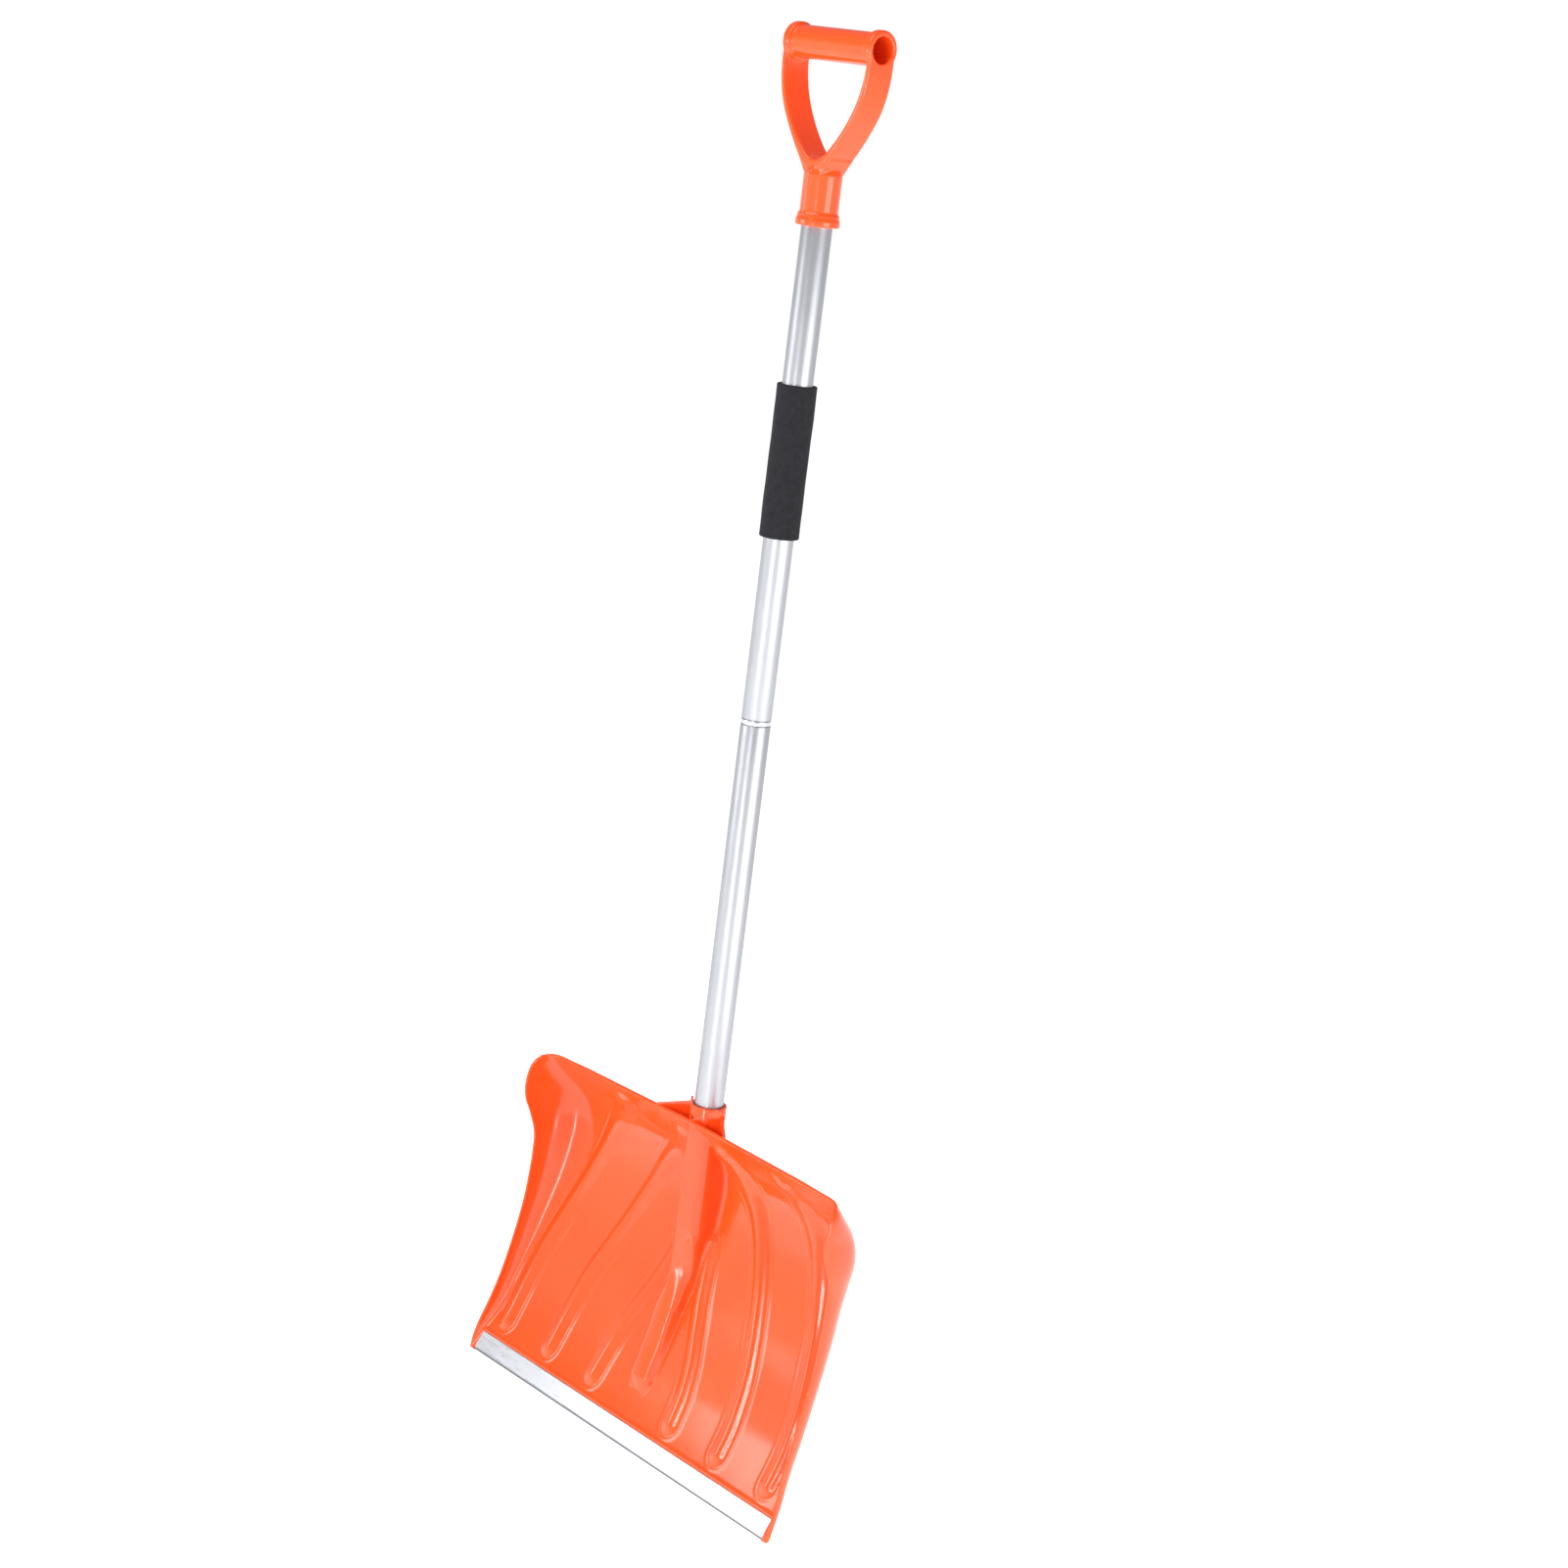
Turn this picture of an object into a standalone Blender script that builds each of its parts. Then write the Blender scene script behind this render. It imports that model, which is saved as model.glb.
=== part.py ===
"""Snow shovel: a wide ribbed scoop with an aluminium wear strip, a two-piece tube shaft and a D-grip.

Heights are drawn upwards from the scoop's lower edge, in millimetres, with the shaft's axis at x = y = 0
and the scoop's open side facing -Y. The whole shovel is then moved so that the middle of the grip bar is
the origin, and written in metres.
"""

import math

import bmesh
import bpy
from mathutils import Matrix, Vector

MM = 0.001

# Shaft
TUBE_R = 14.0
TUBE_WALL = 1.5
LOWER_TUBE = (205.0, 698.4)
JOINT_RING = (698.7, 703.4)
UPPER_TUBE = (703.7, 1194.0)
FOAM = (872.0, 1010.0)
FOAM_R = 18.4

# Screw coupling inside the shaft's joint
PLUG_R = 12.2
THREAD_ROOT_R = 9.4
THREAD_CREST_R = 10.4
THREAD_PITCH = 8.0
THREAD_SPAN = (659.4, 695.4)
PLUG_TOP = 757.4
INSERT_SPAN = (641.4, 698.3)
INSERT_BORE_R = 10.9
INSERT_FLOOR = 655.4

# D-grip
GRIP_Z = 1305.6
BAR_R = 14.6
END_R = 17.0
GRIP_HALF = 56.5
STRAP_DEPTH = 30.0
# Outline of the strap, right half from the bar down to the middle: outer x, outer z, inner x, inner z
STRAP = (
    (56.5, 1304.0, 52.6, 1304.0), (56.5, 1291.0, 52.4, 1291.0), (55.6, 1277.0, 50.9, 1278.0),
    (52.6, 1263.0, 47.3, 1264.0), (47.8, 1250.0, 41.8, 1251.0), (41.1, 1238.0, 34.8, 1238.8),
    (32.9, 1225.5, 26.4, 1227.0), (23.2, 1212.5, 17.4, 1216.6), (12.4, 1201.8, 8.6, 1209.4),
    (0.0, 1196.5, 0.0, 1207.4),
)
BAR_BORE_R = 11.8
BAR_BORE_DEPTH = 46.0
SOCKET_R = 17.25
SOCKET_Z = (1150.0, 1203.0)
COLLAR = ((1150.0, 1156.5, 19.9), (1156.5, 1161.5, 18.7))
SOCKET_BORE_TOP = 1195.0

# Scoop
HALF_WIDTH = 228.0
SHEET = 3.4
# Middle of the scoop: y and z of the front face from the lower edge up to the rim
PROFILE = (
    (-75.0, 0.0), (-64.5, 17.6), (-53.2, 36.0), (-40.6, 60.0), (-29.8, 85.0), (-17.2, 117.0),
    (-4.2, 150.0), (5.4, 178.0), (12.2, 204.0), (16.2, 225.0), (17.9, 245.0), (16.2, 262.0),
    (9.2, 277.5), (-1.9, 291.0), (-13.4, 303.4), (-22.6, 313.2),
)
# Free edge of the side: x, y and z beside each point of the profile
SIDE_EDGE = (
    (228.0, -75.0, 0.0), (226.4, -69.6, 18.5), (223.7, -63.8, 38.0), (220.5, -57.4, 60.0),
    (219.3, -49.4, 85.0), (218.5, -41.2, 117.0), (217.9, -34.2, 150.0), (217.6, -30.7, 178.0),
    (217.7, -28.8, 204.0), (218.6, -28.7, 226.0), (221.3, -34.0, 246.0), (221.8, -41.4, 262.0),
    (221.1, -44.0, 275.5), (221.0, -42.6, 288.0), (219.4, -39.0, 299.4), (214.1, -33.0, 307.4),
)
# How far in from the side the face starts to turn forward, beside each point of the profile
TURN_IN = (4.0, 6.6, 9.5, 14.0, 18.0, 24.5, 33.0, 38.0, 42.5, 44.5, 45.0, 45.0, 44.5, 43.0, 38.0, 25.0)
RIM_FALL = 3.0

# Ribs: x of the centre line at heights from the lower end up, then half width and height
RIBS = (
    (((59.5, 37.0), (57.0, 62.0), (51.5, 87.0), (40.0, 118.0), (29.5, 146.0), (18.0, 192.0)), 12.5, 4.5),
    (((129.5, 37.0), (128.0, 66.0), (121.5, 106.0), (112.5, 134.0), (100.5, 166.0), (84.5, 206.0),
      (66.5, 242.0), (48.0, 265.0), (28.0, 290.0)), 12.5, 4.8),
    (((200.0, 37.0), (199.5, 70.0), (194.5, 110.0), (183.0, 155.0), (173.0, 185.0), (159.5, 222.0),
      (146.0, 252.0), (130.0, 275.0), (114.0, 298.0)), 12.5, 4.8),
)

RIB_TOP = 311.0

# Tube housing and the ridge it runs into
HOUSING_R = 17.3
CREST_Y = -22.5
HOUSING_TOP = 328.5
HOUSING_BOTTOM = 196.0
RIM_Z = 315.4
RIDGE = (
    (-22.5, 320.0), (-22.8, 168.0), (-26.5, 144.0), (-32.5, 120.0), (-40.0, 93.0), (-46.0, 76.0), (-51.5, 60.0),
)
RIDGE_END_Z = 45.0
RIDGE_HALF = 14.5
WEB_FOOT_X = 49.5
PLATE_LENGTH = 33.0
PLATE_SLOPE_LENGTH = 23.1
PLATE_RISE = (HOUSING_TOP - 0.6 - RIM_Z) / PLATE_SLOPE_LENGTH
WEB = 3.0

# Wear strip
STRIP_HALF = 221.5
STRIP_SHEET = 0.8
STRIP_HEIGHT = 20.4
FIT_GAP = 0.3

# Screws
GRIP_SCREW_Z = 1177.0
SOCKET_SCREW_Z = 316.0
SCREW_HEAD_R = 4.0
SCREW_SHANK_R = 1.7


# ---------------------------------------------------------------- helpers

def clear_scene():
    for obj in list(bpy.data.objects):
        bpy.data.objects.remove(obj, do_unlink=True)


def material(name, colour, metallic=0.0, roughness=0.5):
    mat = bpy.data.materials.new(name)
    mat.use_nodes = True
    shader = mat.node_tree.nodes["Principled BSDF"]
    shader.inputs["Base Color"].default_value = (*colour, 1.0)
    shader.inputs["Metallic"].default_value = metallic
    shader.inputs["Roughness"].default_value = roughness
    return mat


def add_object(name, verts, faces, mat=None, hidden=False, smooth_angle=35.0):
    """A mesh object from points in millimetres, closed and with its faces outward."""
    mesh = bpy.data.meshes.new(name)
    mesh.from_pydata([Vector(v) * MM for v in verts], [], faces)
    bm = bmesh.new()
    bm.from_mesh(mesh)
    bmesh.ops.recalc_face_normals(bm, faces=bm.faces)
    bm.to_mesh(mesh)
    bm.free()
    mesh.shade_smooth()
    mesh.set_sharp_from_angle(angle=math.radians(smooth_angle))
    obj = bpy.data.objects.new(name, mesh)
    bpy.context.scene.collection.objects.link(obj)
    if mat:
        mesh.materials.append(mat)
    if hidden:
        obj.hide_render = True
        obj.display_type = "WIRE"
    return obj


def combine(target, tool, operation):
    mod = target.modifiers.new(tool.name, "BOOLEAN")
    mod.object = tool
    mod.operation = operation
    mod.solver = "EXACT"


def ring_points(radius, z, count, start=0.0):
    step = 2 * math.pi / count
    return [(radius * math.cos(start + i * step), radius * math.sin(start + i * step), z) for i in range(count)]


def stack(rings):
    """Faces of a closed body made of equal rings of points, one on top of the next, capped at both ends."""
    count = len(rings[0])
    verts = [p for ring in rings for p in ring]
    faces = [tuple(range(count))[::-1]]
    for k in range(len(rings) - 1):
        low = k * count
        for i in range(count):
            j = (i + 1) % count
            faces.append((low + i, low + j, low + count + j, low + count + i))
    top = (len(rings) - 1) * count
    faces.append(tuple(range(top, top + count)))
    return verts, faces


def turned(name, outline, count, mat=None, hidden=False):
    """A solid of revolution about the shaft's axis from (radius, z) points, lowest first."""
    verts, faces = stack([ring_points(r, z, count) for r, z in outline])
    return add_object(name, verts, faces, mat, hidden)


def tube(name, outline_outer, outline_inner, count, mat=None):
    """A pipe about the shaft's axis: the outer outline upwards, then the inner one downwards."""
    outline = list(outline_outer) + list(outline_inner)
    rings = [ring_points(r, z, count) for r, z in outline]
    verts = [p for ring in rings for p in ring]
    faces = []
    for k in range(len(rings)):
        low = k * count
        high = ((k + 1) % len(rings)) * count
        for i in range(count):
            j = (i + 1) % count
            faces.append((low + i, low + j, high + j, high + i))
    return add_object(name, verts, faces, mat)


def rod(name, centre, direction, radius, length, count, mat=None, hidden=False):
    """A cylinder that starts at centre and runs along direction."""
    turn = Vector(direction).to_track_quat("Z", "Y").to_matrix()
    rings = [
        [tuple(turn @ Vector(p) + Vector(centre)) for p in ring_points(radius, z, count)] for z in (0.0, length)
    ]
    verts, faces = stack(rings)
    return add_object(name, verts, faces, mat, hidden)


def spline(points, at):
    """Value of a smooth curve through (value, position) points with rising or falling positions."""
    pts = sorted(points, key=lambda p: p[1])
    if at <= pts[0][1]:
        return pts[0][0]
    if at >= pts[-1][1]:
        return pts[-1][0]
    k = max(i for i in range(len(pts) - 1) if pts[i][1] <= at)
    a, b = pts[k], pts[k + 1]
    span = b[1] - a[1]
    t = (at - a[1]) / span

    def slope(i):
        if i == 0 or i == len(pts) - 1:
            j = min(i, len(pts) - 2)
            return (pts[j + 1][0] - pts[j][0]) / (pts[j + 1][1] - pts[j][1])
        return (pts[i + 1][0] - pts[i - 1][0]) / (pts[i + 1][1] - pts[i - 1][1])

    m0, m1 = slope(k) * span, slope(k + 1) * span
    t2, t3 = t * t, t * t * t
    return (2 * t3 - 3 * t2 + 1) * a[0] + (t3 - 2 * t2 + t) * m0 + (3 * t2 - 2 * t3) * b[0] + (t3 - t2) * m1


def smooth(t):
    t = min(1.0, max(0.0, t))
    return t * t * (3 - 2 * t)


# ---------------------------------------------------------------- scoop

def along(table, row):
    """A table's columns at a whole or part row number, on a smooth curve."""
    columns = len(table[0]) if isinstance(table[0], tuple) else 1
    rows = [r if isinstance(r, tuple) else (r,) for r in table]
    out = tuple(spline([(r[c], float(i)) for i, r in enumerate(rows)], row) for c in range(columns))
    return out if columns > 1 else out[0]


def face_point(x, row):
    """Point of the plain front face, before ribs, at a signed distance x across and a row of the tables."""
    y0, z0 = along(PROFILE, row)
    xe, ye, ze = along(SIDE_EDGE, row)
    turn = along(TURN_IN, row)
    rise = smooth((row - 9.0) / 6.0)
    start = xe - turn
    side = min(1.0, max(0.0, (abs(x) - start) / turn))
    power = 2.2 + 0.9 * smooth((row - 7.5) / 3.0)
    bend = 1.0 - math.sqrt(max(0.0, 1.0 - side ** power)) if side < 1.0 else 1.0
    fall = rise * RIM_FALL * min(1.0, abs(x) / start)
    y = y0 + (ye - y0) * bend
    z = z0 - fall * (1 - bend) + (ze - z0) * bend
    return Vector((math.copysign(min(abs(x), xe), x), y, z))


def rib_height(x, z):
    """Height of the side ribs above the plain face."""
    total = 0.0
    for path, half, height in RIBS:
        low, high = path[0][1], path[-1][1]
        widen = 1.0 + 0.45 * smooth((z - 200.0) / 90.0)
        centre = spline(path, min(max(z, low), high))
        lean = (spline(path, min(z + 4, high)) - spline(path, max(z - 4, low))) / 8.0
        across = (abs(x) - centre) / math.sqrt(1 + lean * lean)
        beyond = max(low - z, 0.0, z - high)
        distance = math.hypot(across, beyond) / (half * widen)
        fade = smooth((HALF_WIDTH - 3.0 - abs(x)) / 10.0) * smooth((RIB_TOP - z) / 20.0)
        if distance < 1.0:
            total = max(total, fade * height * (1 - distance ** 2.6) ** 0.9)
    return total


def ridge_y(x, z):
    """Front of the middle ridge at x and z: a sharp roof over the tube that runs into a round rib."""
    crest = spline(RIDGE, max(z, 60.0))
    d = abs(x)
    tangent_y = -HOUSING_R ** 2 / CREST_Y
    tangent_x = math.sqrt(HOUSING_R ** 2 - tangent_y ** 2)
    if d <= tangent_x:
        roof = (-tangent_y - CREST_Y) * d / tangent_x
    else:
        roof = -CREST_Y - math.sqrt(max(HOUSING_R ** 2 - d * d, 0.0))
    upper = smooth((z - 118.0) / 70.0)
    half = RIDGE_HALF + (HOUSING_R - RIDGE_HALF) * upper
    if d > half:
        return None
    depth = 9.5 + 14.0 * upper
    round_rib = depth * (1 - math.sqrt(max(0.0, 1 - (d / half) ** 2)))
    return crest + upper * roof + (1 - upper) * round_rib


def front_offsets(x, point):
    """Height of ribs and of the ridge at a point of the plain face, the ridge straight along -Y."""
    ribs = rib_height(x, point.z)
    if point.z < RIDGE_END_Z or point.z > 312.0:
        return ribs, 0.0
    y = ridge_y(x, point.z)
    if y is None:
        return ribs, 0.0
    end = math.sqrt(max(0.0, 1 - (1 - min(1.0, (point.z - RIDGE_END_Z) / 14.0)) ** 2))
    return ribs, max(0.0, point.y - y) * end


def column_places():
    """Distances across the scoop, closer together on the ridge and in the turned sides."""
    middle = [0.0, 5.5, 10.5, 14.2, 17.3, 17.9]
    step = (168.0 - 17.9) / 18
    flat = [17.9 + step * (i + 1) for i in range(18)]
    half = middle + flat
    return [-x for x in reversed(half[1:])] + half


def row_places():
    rows = [0.0, 1.0, 1.6]
    rows += [2.2 + 0.58 * i for i in range(20)]
    rows += [13.8, 14.4, 14.75, 15.0]
    return sorted(set(round(r, 3) for r in rows))


def grid_surfaces():
    """Front and back points of the scoop's sheet, by row and column."""
    places = column_places()
    reach = places[-1]
    sides = (0.22, 0.43, 0.62, 0.79, 0.92, 1.0)
    front, back = [], []
    for row in row_places():
        start = along(SIDE_EDGE, row)[0] - along(TURN_IN, row)
        edge = along(SIDE_EDGE, row)[0]
        xs = [x * start / reach for x in places if abs(x) > 18.0]
        inner = [x for x in places if abs(x) <= 18.0]
        half = len(xs) // 2
        line = xs[:half] + inner + xs[half:]
        line = [-(start + (edge - start) * s) for s in reversed(sides)] + line
        line += [start + (edge - start) * s for s in sides]
        front_row, back_row = [], []
        for x in line:
            point = face_point(x, row)
            normal = face_normal(x, row)
            ribs, ridge = front_offsets(x, point)
            front_row.append(point + normal * ribs + Vector((0, -ridge, 0)))
            hollow = ribs * smooth((abs(x) - 24.0) / 14.0)
            thick = SHEET - 0.9 * smooth((abs(x) - 150.0) / 50.0) * smooth(row - 1.5)
            back_row.append(point - normal * (thick - hollow))
        front.append(front_row)
        back.append(back_row)
    return front, back


def face_normal(x, row):
    """Unit normal of the plain face, towards the open side."""
    edge = along(SIDE_EDGE, row)[0]
    x0, x1 = max(x - 0.4, -edge), min(x + 0.4, edge)
    r0, r1 = max(row - 0.03, 0.0), min(row + 0.03, 15.0)
    across = face_point(x1, row) - face_point(x0, row)
    up = face_point(x, r1) - face_point(x, r0)
    return across.cross(up).normalized()


def sheet_solid(name, mat):
    front, back = grid_surfaces()
    rows, columns = len(front), len(front[0])
    verts = [p for line in front for p in line] + [p for line in back for p in line]
    offset = rows * columns
    faces = []
    for r in range(rows - 1):
        for c in range(columns - 1):
            a, b = r * columns + c, r * columns + c + 1
            d, e = a + columns, b + columns
            faces += [(a, b, e), (a, e, d)]
            faces += [(offset + a, offset + e, offset + b), (offset + a, offset + d, offset + e)]
    for c in range(columns - 1):
        top = (rows - 1) * columns + c
        faces.append((c, offset + c, offset + c + 1, c + 1))
        faces.append((top, top + 1, offset + top + 1, offset + top))
    for r in range(rows - 1):
        left, right = r * columns, r * columns + columns - 1
        faces.append((left, left + columns, offset + left + columns, offset + left))
        faces.append((right, offset + right, offset + right + columns, right + columns))
    return add_object(name, verts, faces, mat, smooth_angle=40.0)


def housing_solid():
    """Round boss about the tube, tapering into the scoop's sheet at its foot."""
    radius = HOUSING_R - 0.15
    outline = [(radius * 0.55, HOUSING_BOTTOM - 16.0), (radius, HOUSING_BOTTOM), (radius, HOUSING_TOP)]
    return turned("housing_form", outline, 36, hidden=True)


def prow_lines():
    """Point of the boss's front, and the direction and outward normal of its right side."""
    point = Vector((0.0, CREST_Y + 0.35, 0.0))
    tangent = math.asin((HOUSING_R - 0.5) / -point.y)
    along = Vector((math.sin(tangent), math.cos(tangent), 0.0))
    return point, along, Vector((along.y, -along.x, 0.0))


def prow_solid():
    """Pointed front of the boss, its top sloping up from the rim at the point towards the boss's top edge."""
    point, along, _ = prow_lines()
    reach = math.sqrt(point.y ** 2 - (HOUSING_R - 0.5) ** 2)
    x, y = along.x * reach, point.y + along.y * reach
    plan = [(0.0, point.y), (x, y), (-x, y)]
    foot = [(px * 0.5, py * 0.5 - 2.0, HOUSING_BOTTOM - 10.0) for px, py in plan]
    low = [(px, py, HOUSING_BOTTOM + 5.0) for px, py in plan]
    top = RIM_Z + PLATE_RISE * reach
    high = [(px, py, z) for (px, py), z in zip(plan, (RIM_Z, top, top))]
    verts, faces = stack([foot, low, high])
    return add_object("prow_form", verts, faces, hidden=True)


def prow_plate_solid(name, side):
    """Flat side of the boss, carried on past the boss's flank to the web, its top sloping up to the boss's."""
    point, along, normal = prow_lines()
    rings = []
    for t, low in ((6.0, 306.5), (PLATE_SLOPE_LENGTH, 299.6), (PLATE_LENGTH, 292.5)):
        outer = point + along * t + normal * 0.15
        inner = outer - normal * 2.2
        top = RIM_Z + PLATE_RISE * min(t, PLATE_SLOPE_LENGTH) + 0.1
        quad = [(outer, low), (inner, low), (inner, top), (outer, top)]
        rings.append([(side * v.x, v.y, z) for v, z in quad])
    verts, faces = stack(rings)
    return add_object(name, verts, faces, hidden=True)


def web_solid(name, side):
    """Upright web from the rim to the side of the boss, its foot inside the scoop's sheet."""
    foot_line = [(-21.0, 313.0), (-12.8, 305.2), (-1.2, 293.2), (3.0, 288.8)]
    heads = [(-21.0, 315.6), (-12.8, 319.3), (-1.2, 324.8), (3.0, 326.8)]
    inner_x = 14.9
    span = foot_line[-1][0] - foot_line[0][0]

    def x_at(y):
        return WEB_FOOT_X + (inner_x - WEB_FOOT_X) * (y - foot_line[0][0]) / span

    direction = Vector((inner_x - WEB_FOOT_X, span, 0)).normalized()
    across = Vector((-direction.y, direction.x, 0)) * (WEB / 2)
    rings = []
    for (y, low), (_, high) in zip(foot_line, heads):
        base = Vector((x_at(y), y, 0))
        quad = [base - across + Vector((0, 0, low)), base + across + Vector((0, 0, low)),
                base + across + Vector((0, 0, high)), base - across + Vector((0, 0, high))]
        rings.append([(side * v.x, v.y, v.z) for v in quad])
    verts, faces = stack(rings)
    return add_object(name, verts, faces, hidden=True)


def edge_frame():
    """Point, upward direction and front normal of the scoop's flat lower edge."""
    low, high = Vector((0, *PROFILE[0])), Vector((0, *PROFILE[1]))
    up = (high - low).normalized()
    front = Vector((0, -up.z, up.y))
    return low, up, front


def edge_prism(name, half, outline, mat=None, hidden=False):
    """A bar along X whose section is given in the lower edge's own directions (front, up)."""
    low, up, front = edge_frame()
    rings = []
    for x in (-half, half):
        rings.append([tuple(low + front * f + up * u + Vector((x, 0, 0))) for f, u in outline])
    verts, faces = stack(rings)
    return add_object(name, verts, faces, mat, hidden)


def strip_outline():
    """Section of the folded strip round the scoop's edge: front at 0, back at minus the sheet's thickness."""
    outer_r = SHEET / 2
    inner_r = outer_r - STRIP_SHEET
    middle = -outer_r
    points = [(0.0, STRIP_HEIGHT)]
    steps = 8
    for i in range(steps + 1):
        angle = -math.pi * i / steps
        points.append((middle + outer_r * math.cos(angle), outer_r + outer_r * math.sin(angle)))
    points.append((-SHEET, STRIP_HEIGHT))
    points.append((-SHEET + STRIP_SHEET, STRIP_HEIGHT))
    for i in range(steps + 1):
        angle = -math.pi + math.pi * i / steps
        points.append((middle + inner_r * math.cos(angle), outer_r + inner_r * math.sin(angle)))
    points.append((-STRIP_SHEET, STRIP_HEIGHT))
    return points


def strip_recesses():
    """Front, back and lower cutters that thin the scoop's edge inside the strip."""
    half = STRIP_HALF + FIT_GAP
    deep = STRIP_SHEET + FIT_GAP
    top = STRIP_HEIGHT + FIT_GAP
    front = edge_prism("recess_front", half, [(-deep, -3.0), (3.0, -3.0), (3.0, top), (-deep, top)], hidden=True)
    back = edge_prism(
        "recess_back", half + 0.1,
        [(-SHEET - 3.0, -3.1), (-SHEET + deep, -3.1), (-SHEET + deep, top), (-SHEET - 3.0, top)], hidden=True,
    )
    lower_top = SHEET / 2 - 0.1
    lower = edge_prism(
        "recess_lower", half + 0.2,
        [(-SHEET - 4.0, -4.0), (4.0, -4.0), (4.0, lower_top), (-SHEET - 4.0, lower_top)], hidden=True,
    )
    return front, back, lower


def screw_hole(name, z, radius):
    return rod(name, (0, 9.0, z), (0, 1, 0), radius, 16.0, 16, hidden=True)


def build_blade(mat):
    blade = sheet_solid("blade", mat)
    combine(blade, housing_solid(), "UNION")
    combine(blade, prow_solid(), "UNION")
    combine(blade, prow_plate_solid("plate_form_right", 1.0), "UNION")
    combine(blade, prow_plate_solid("plate_form_left", -1.0), "UNION")
    combine(blade, web_solid("web_form_right", 1.0), "UNION")
    combine(blade, web_solid("web_form_left", -1.0), "UNION")
    bore = turned(
        "socket_bore_form",
        [(TUBE_R + FIT_GAP, LOWER_TUBE[0] - 0.6), (TUBE_R + FIT_GAP, 345.0)], 32, hidden=True,
    )
    combine(blade, bore, "DIFFERENCE")
    for cutter in strip_recesses():
        combine(blade, cutter, "DIFFERENCE")
    combine(blade, screw_hole("blade_screw_hole", SOCKET_SCREW_Z, SCREW_SHANK_R + FIT_GAP), "DIFFERENCE")
    return blade


def build_wear_strip(mat):
    return edge_prism("wear_strip", STRIP_HALF, strip_outline(), mat)


# ---------------------------------------------------------------- shaft

def build_lower_tube(mat):
    low, high = LOWER_TUBE
    inner = TUBE_R - TUBE_WALL
    pipe = tube(
        "lower_tube",
        [(TUBE_R, low), (TUBE_R, high - 0.8), (TUBE_R - 0.5, high)],
        [(inner, high), (inner, low)], 32, mat,
    )
    combine(pipe, screw_hole("lower_tube_screw_hole", SOCKET_SCREW_Z, SCREW_SHANK_R + FIT_GAP), "DIFFERENCE")
    return pipe


def build_upper_tube(mat):
    low, high = UPPER_TUBE
    inner = TUBE_R - TUBE_WALL
    pipe = tube(
        "upper_tube",
        [(TUBE_R - 0.3, low), (TUBE_R, low + 0.4), (TUBE_R, high)],
        [(inner, high), (inner, low)], 32, mat,
    )
    combine(pipe, screw_hole("upper_tube_screw_hole", GRIP_SCREW_Z, SCREW_SHANK_R + FIT_GAP), "DIFFERENCE")
    return pipe


def build_joint_ring(mat):
    low, high = JOINT_RING
    inner = THREAD_CREST_R + 0.5
    return tube(
        "joint_ring",
        [(TUBE_R - 0.3, low), (TUBE_R, low + 0.5), (TUBE_R, high - 1.6), (TUBE_R - 0.9, high)],
        [(inner, high), (inner, low)], 32, mat,
    )


def thread_radius(angle, z):
    """Radius of the plug's rounded thread at an angle and height."""
    low, high = THREAD_SPAN
    turn = (z - low) / THREAD_PITCH - angle / (2 * math.pi)
    wave = 0.5 + 0.5 * math.cos(2 * math.pi * turn)
    runout = smooth((z - low) / 5.0) * smooth((high - z) / 5.0)
    return THREAD_ROOT_R + (THREAD_CREST_R - THREAD_ROOT_R) * smooth((wave - 0.35) / 0.45) * runout


def build_threaded_plug(mat):
    low, high = THREAD_SPAN
    count = 24
    levels = [low + (high - low) * i / 30 for i in range(31)]
    rings = [ring_points(THREAD_ROOT_R - 1.2, low - 1.2, count)]
    for z in levels:
        ring = []
        for i in range(count):
            angle = 2 * math.pi * i / count
            r = thread_radius(angle, z)
            ring.append((r * math.cos(angle), r * math.sin(angle), z))
        rings.append(ring)
    rings.append(ring_points(THREAD_ROOT_R, UPPER_TUBE[0] + 0.6, count))
    rings.append(ring_points(PLUG_R, UPPER_TUBE[0] + 0.6, count))
    rings.append(ring_points(PLUG_R, PLUG_TOP - 1.5, count))
    rings.append(ring_points(PLUG_R - 1.0, PLUG_TOP, count))
    verts, faces = stack(rings)
    return add_object("threaded_plug", verts, faces, mat)


def build_threaded_insert(mat):
    low, high = INSERT_SPAN
    outer = [(0.0, low), (PLUG_R, low), (PLUG_R, high)]
    inner = [(INSERT_BORE_R + 0.6, high), (INSERT_BORE_R, high - 1.0), (INSERT_BORE_R, INSERT_FLOOR)]
    count = 28
    rings = [ring_points(r, z, count) for r, z in outer[1:] + inner]
    verts, faces = stack(rings)
    return add_object("threaded_insert", verts, faces, mat)


def build_foam(mat):
    low, high = FOAM
    inner = TUBE_R + FIT_GAP
    return tube(
        "foam_sleeve",
        [(FOAM_R - 0.8, low), (FOAM_R, low + 0.8), (FOAM_R, high - 0.8), (FOAM_R - 0.8, high)],
        [(inner, high), (inner, low)], 32, mat,
    )


# ---------------------------------------------------------------- grip

def strap_outline(row):
    """Outer and inner point of the strap at a row of its table, mirrored to the left past the last row."""
    last = len(STRAP) - 1
    side = 1.0 if row <= last else -1.0
    xo, zo, xi, zi = along(STRAP, row if row <= last else 2 * last - row)
    return Vector((side * xo, 0, zo)), Vector((side * xi, 0, zi))


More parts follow.
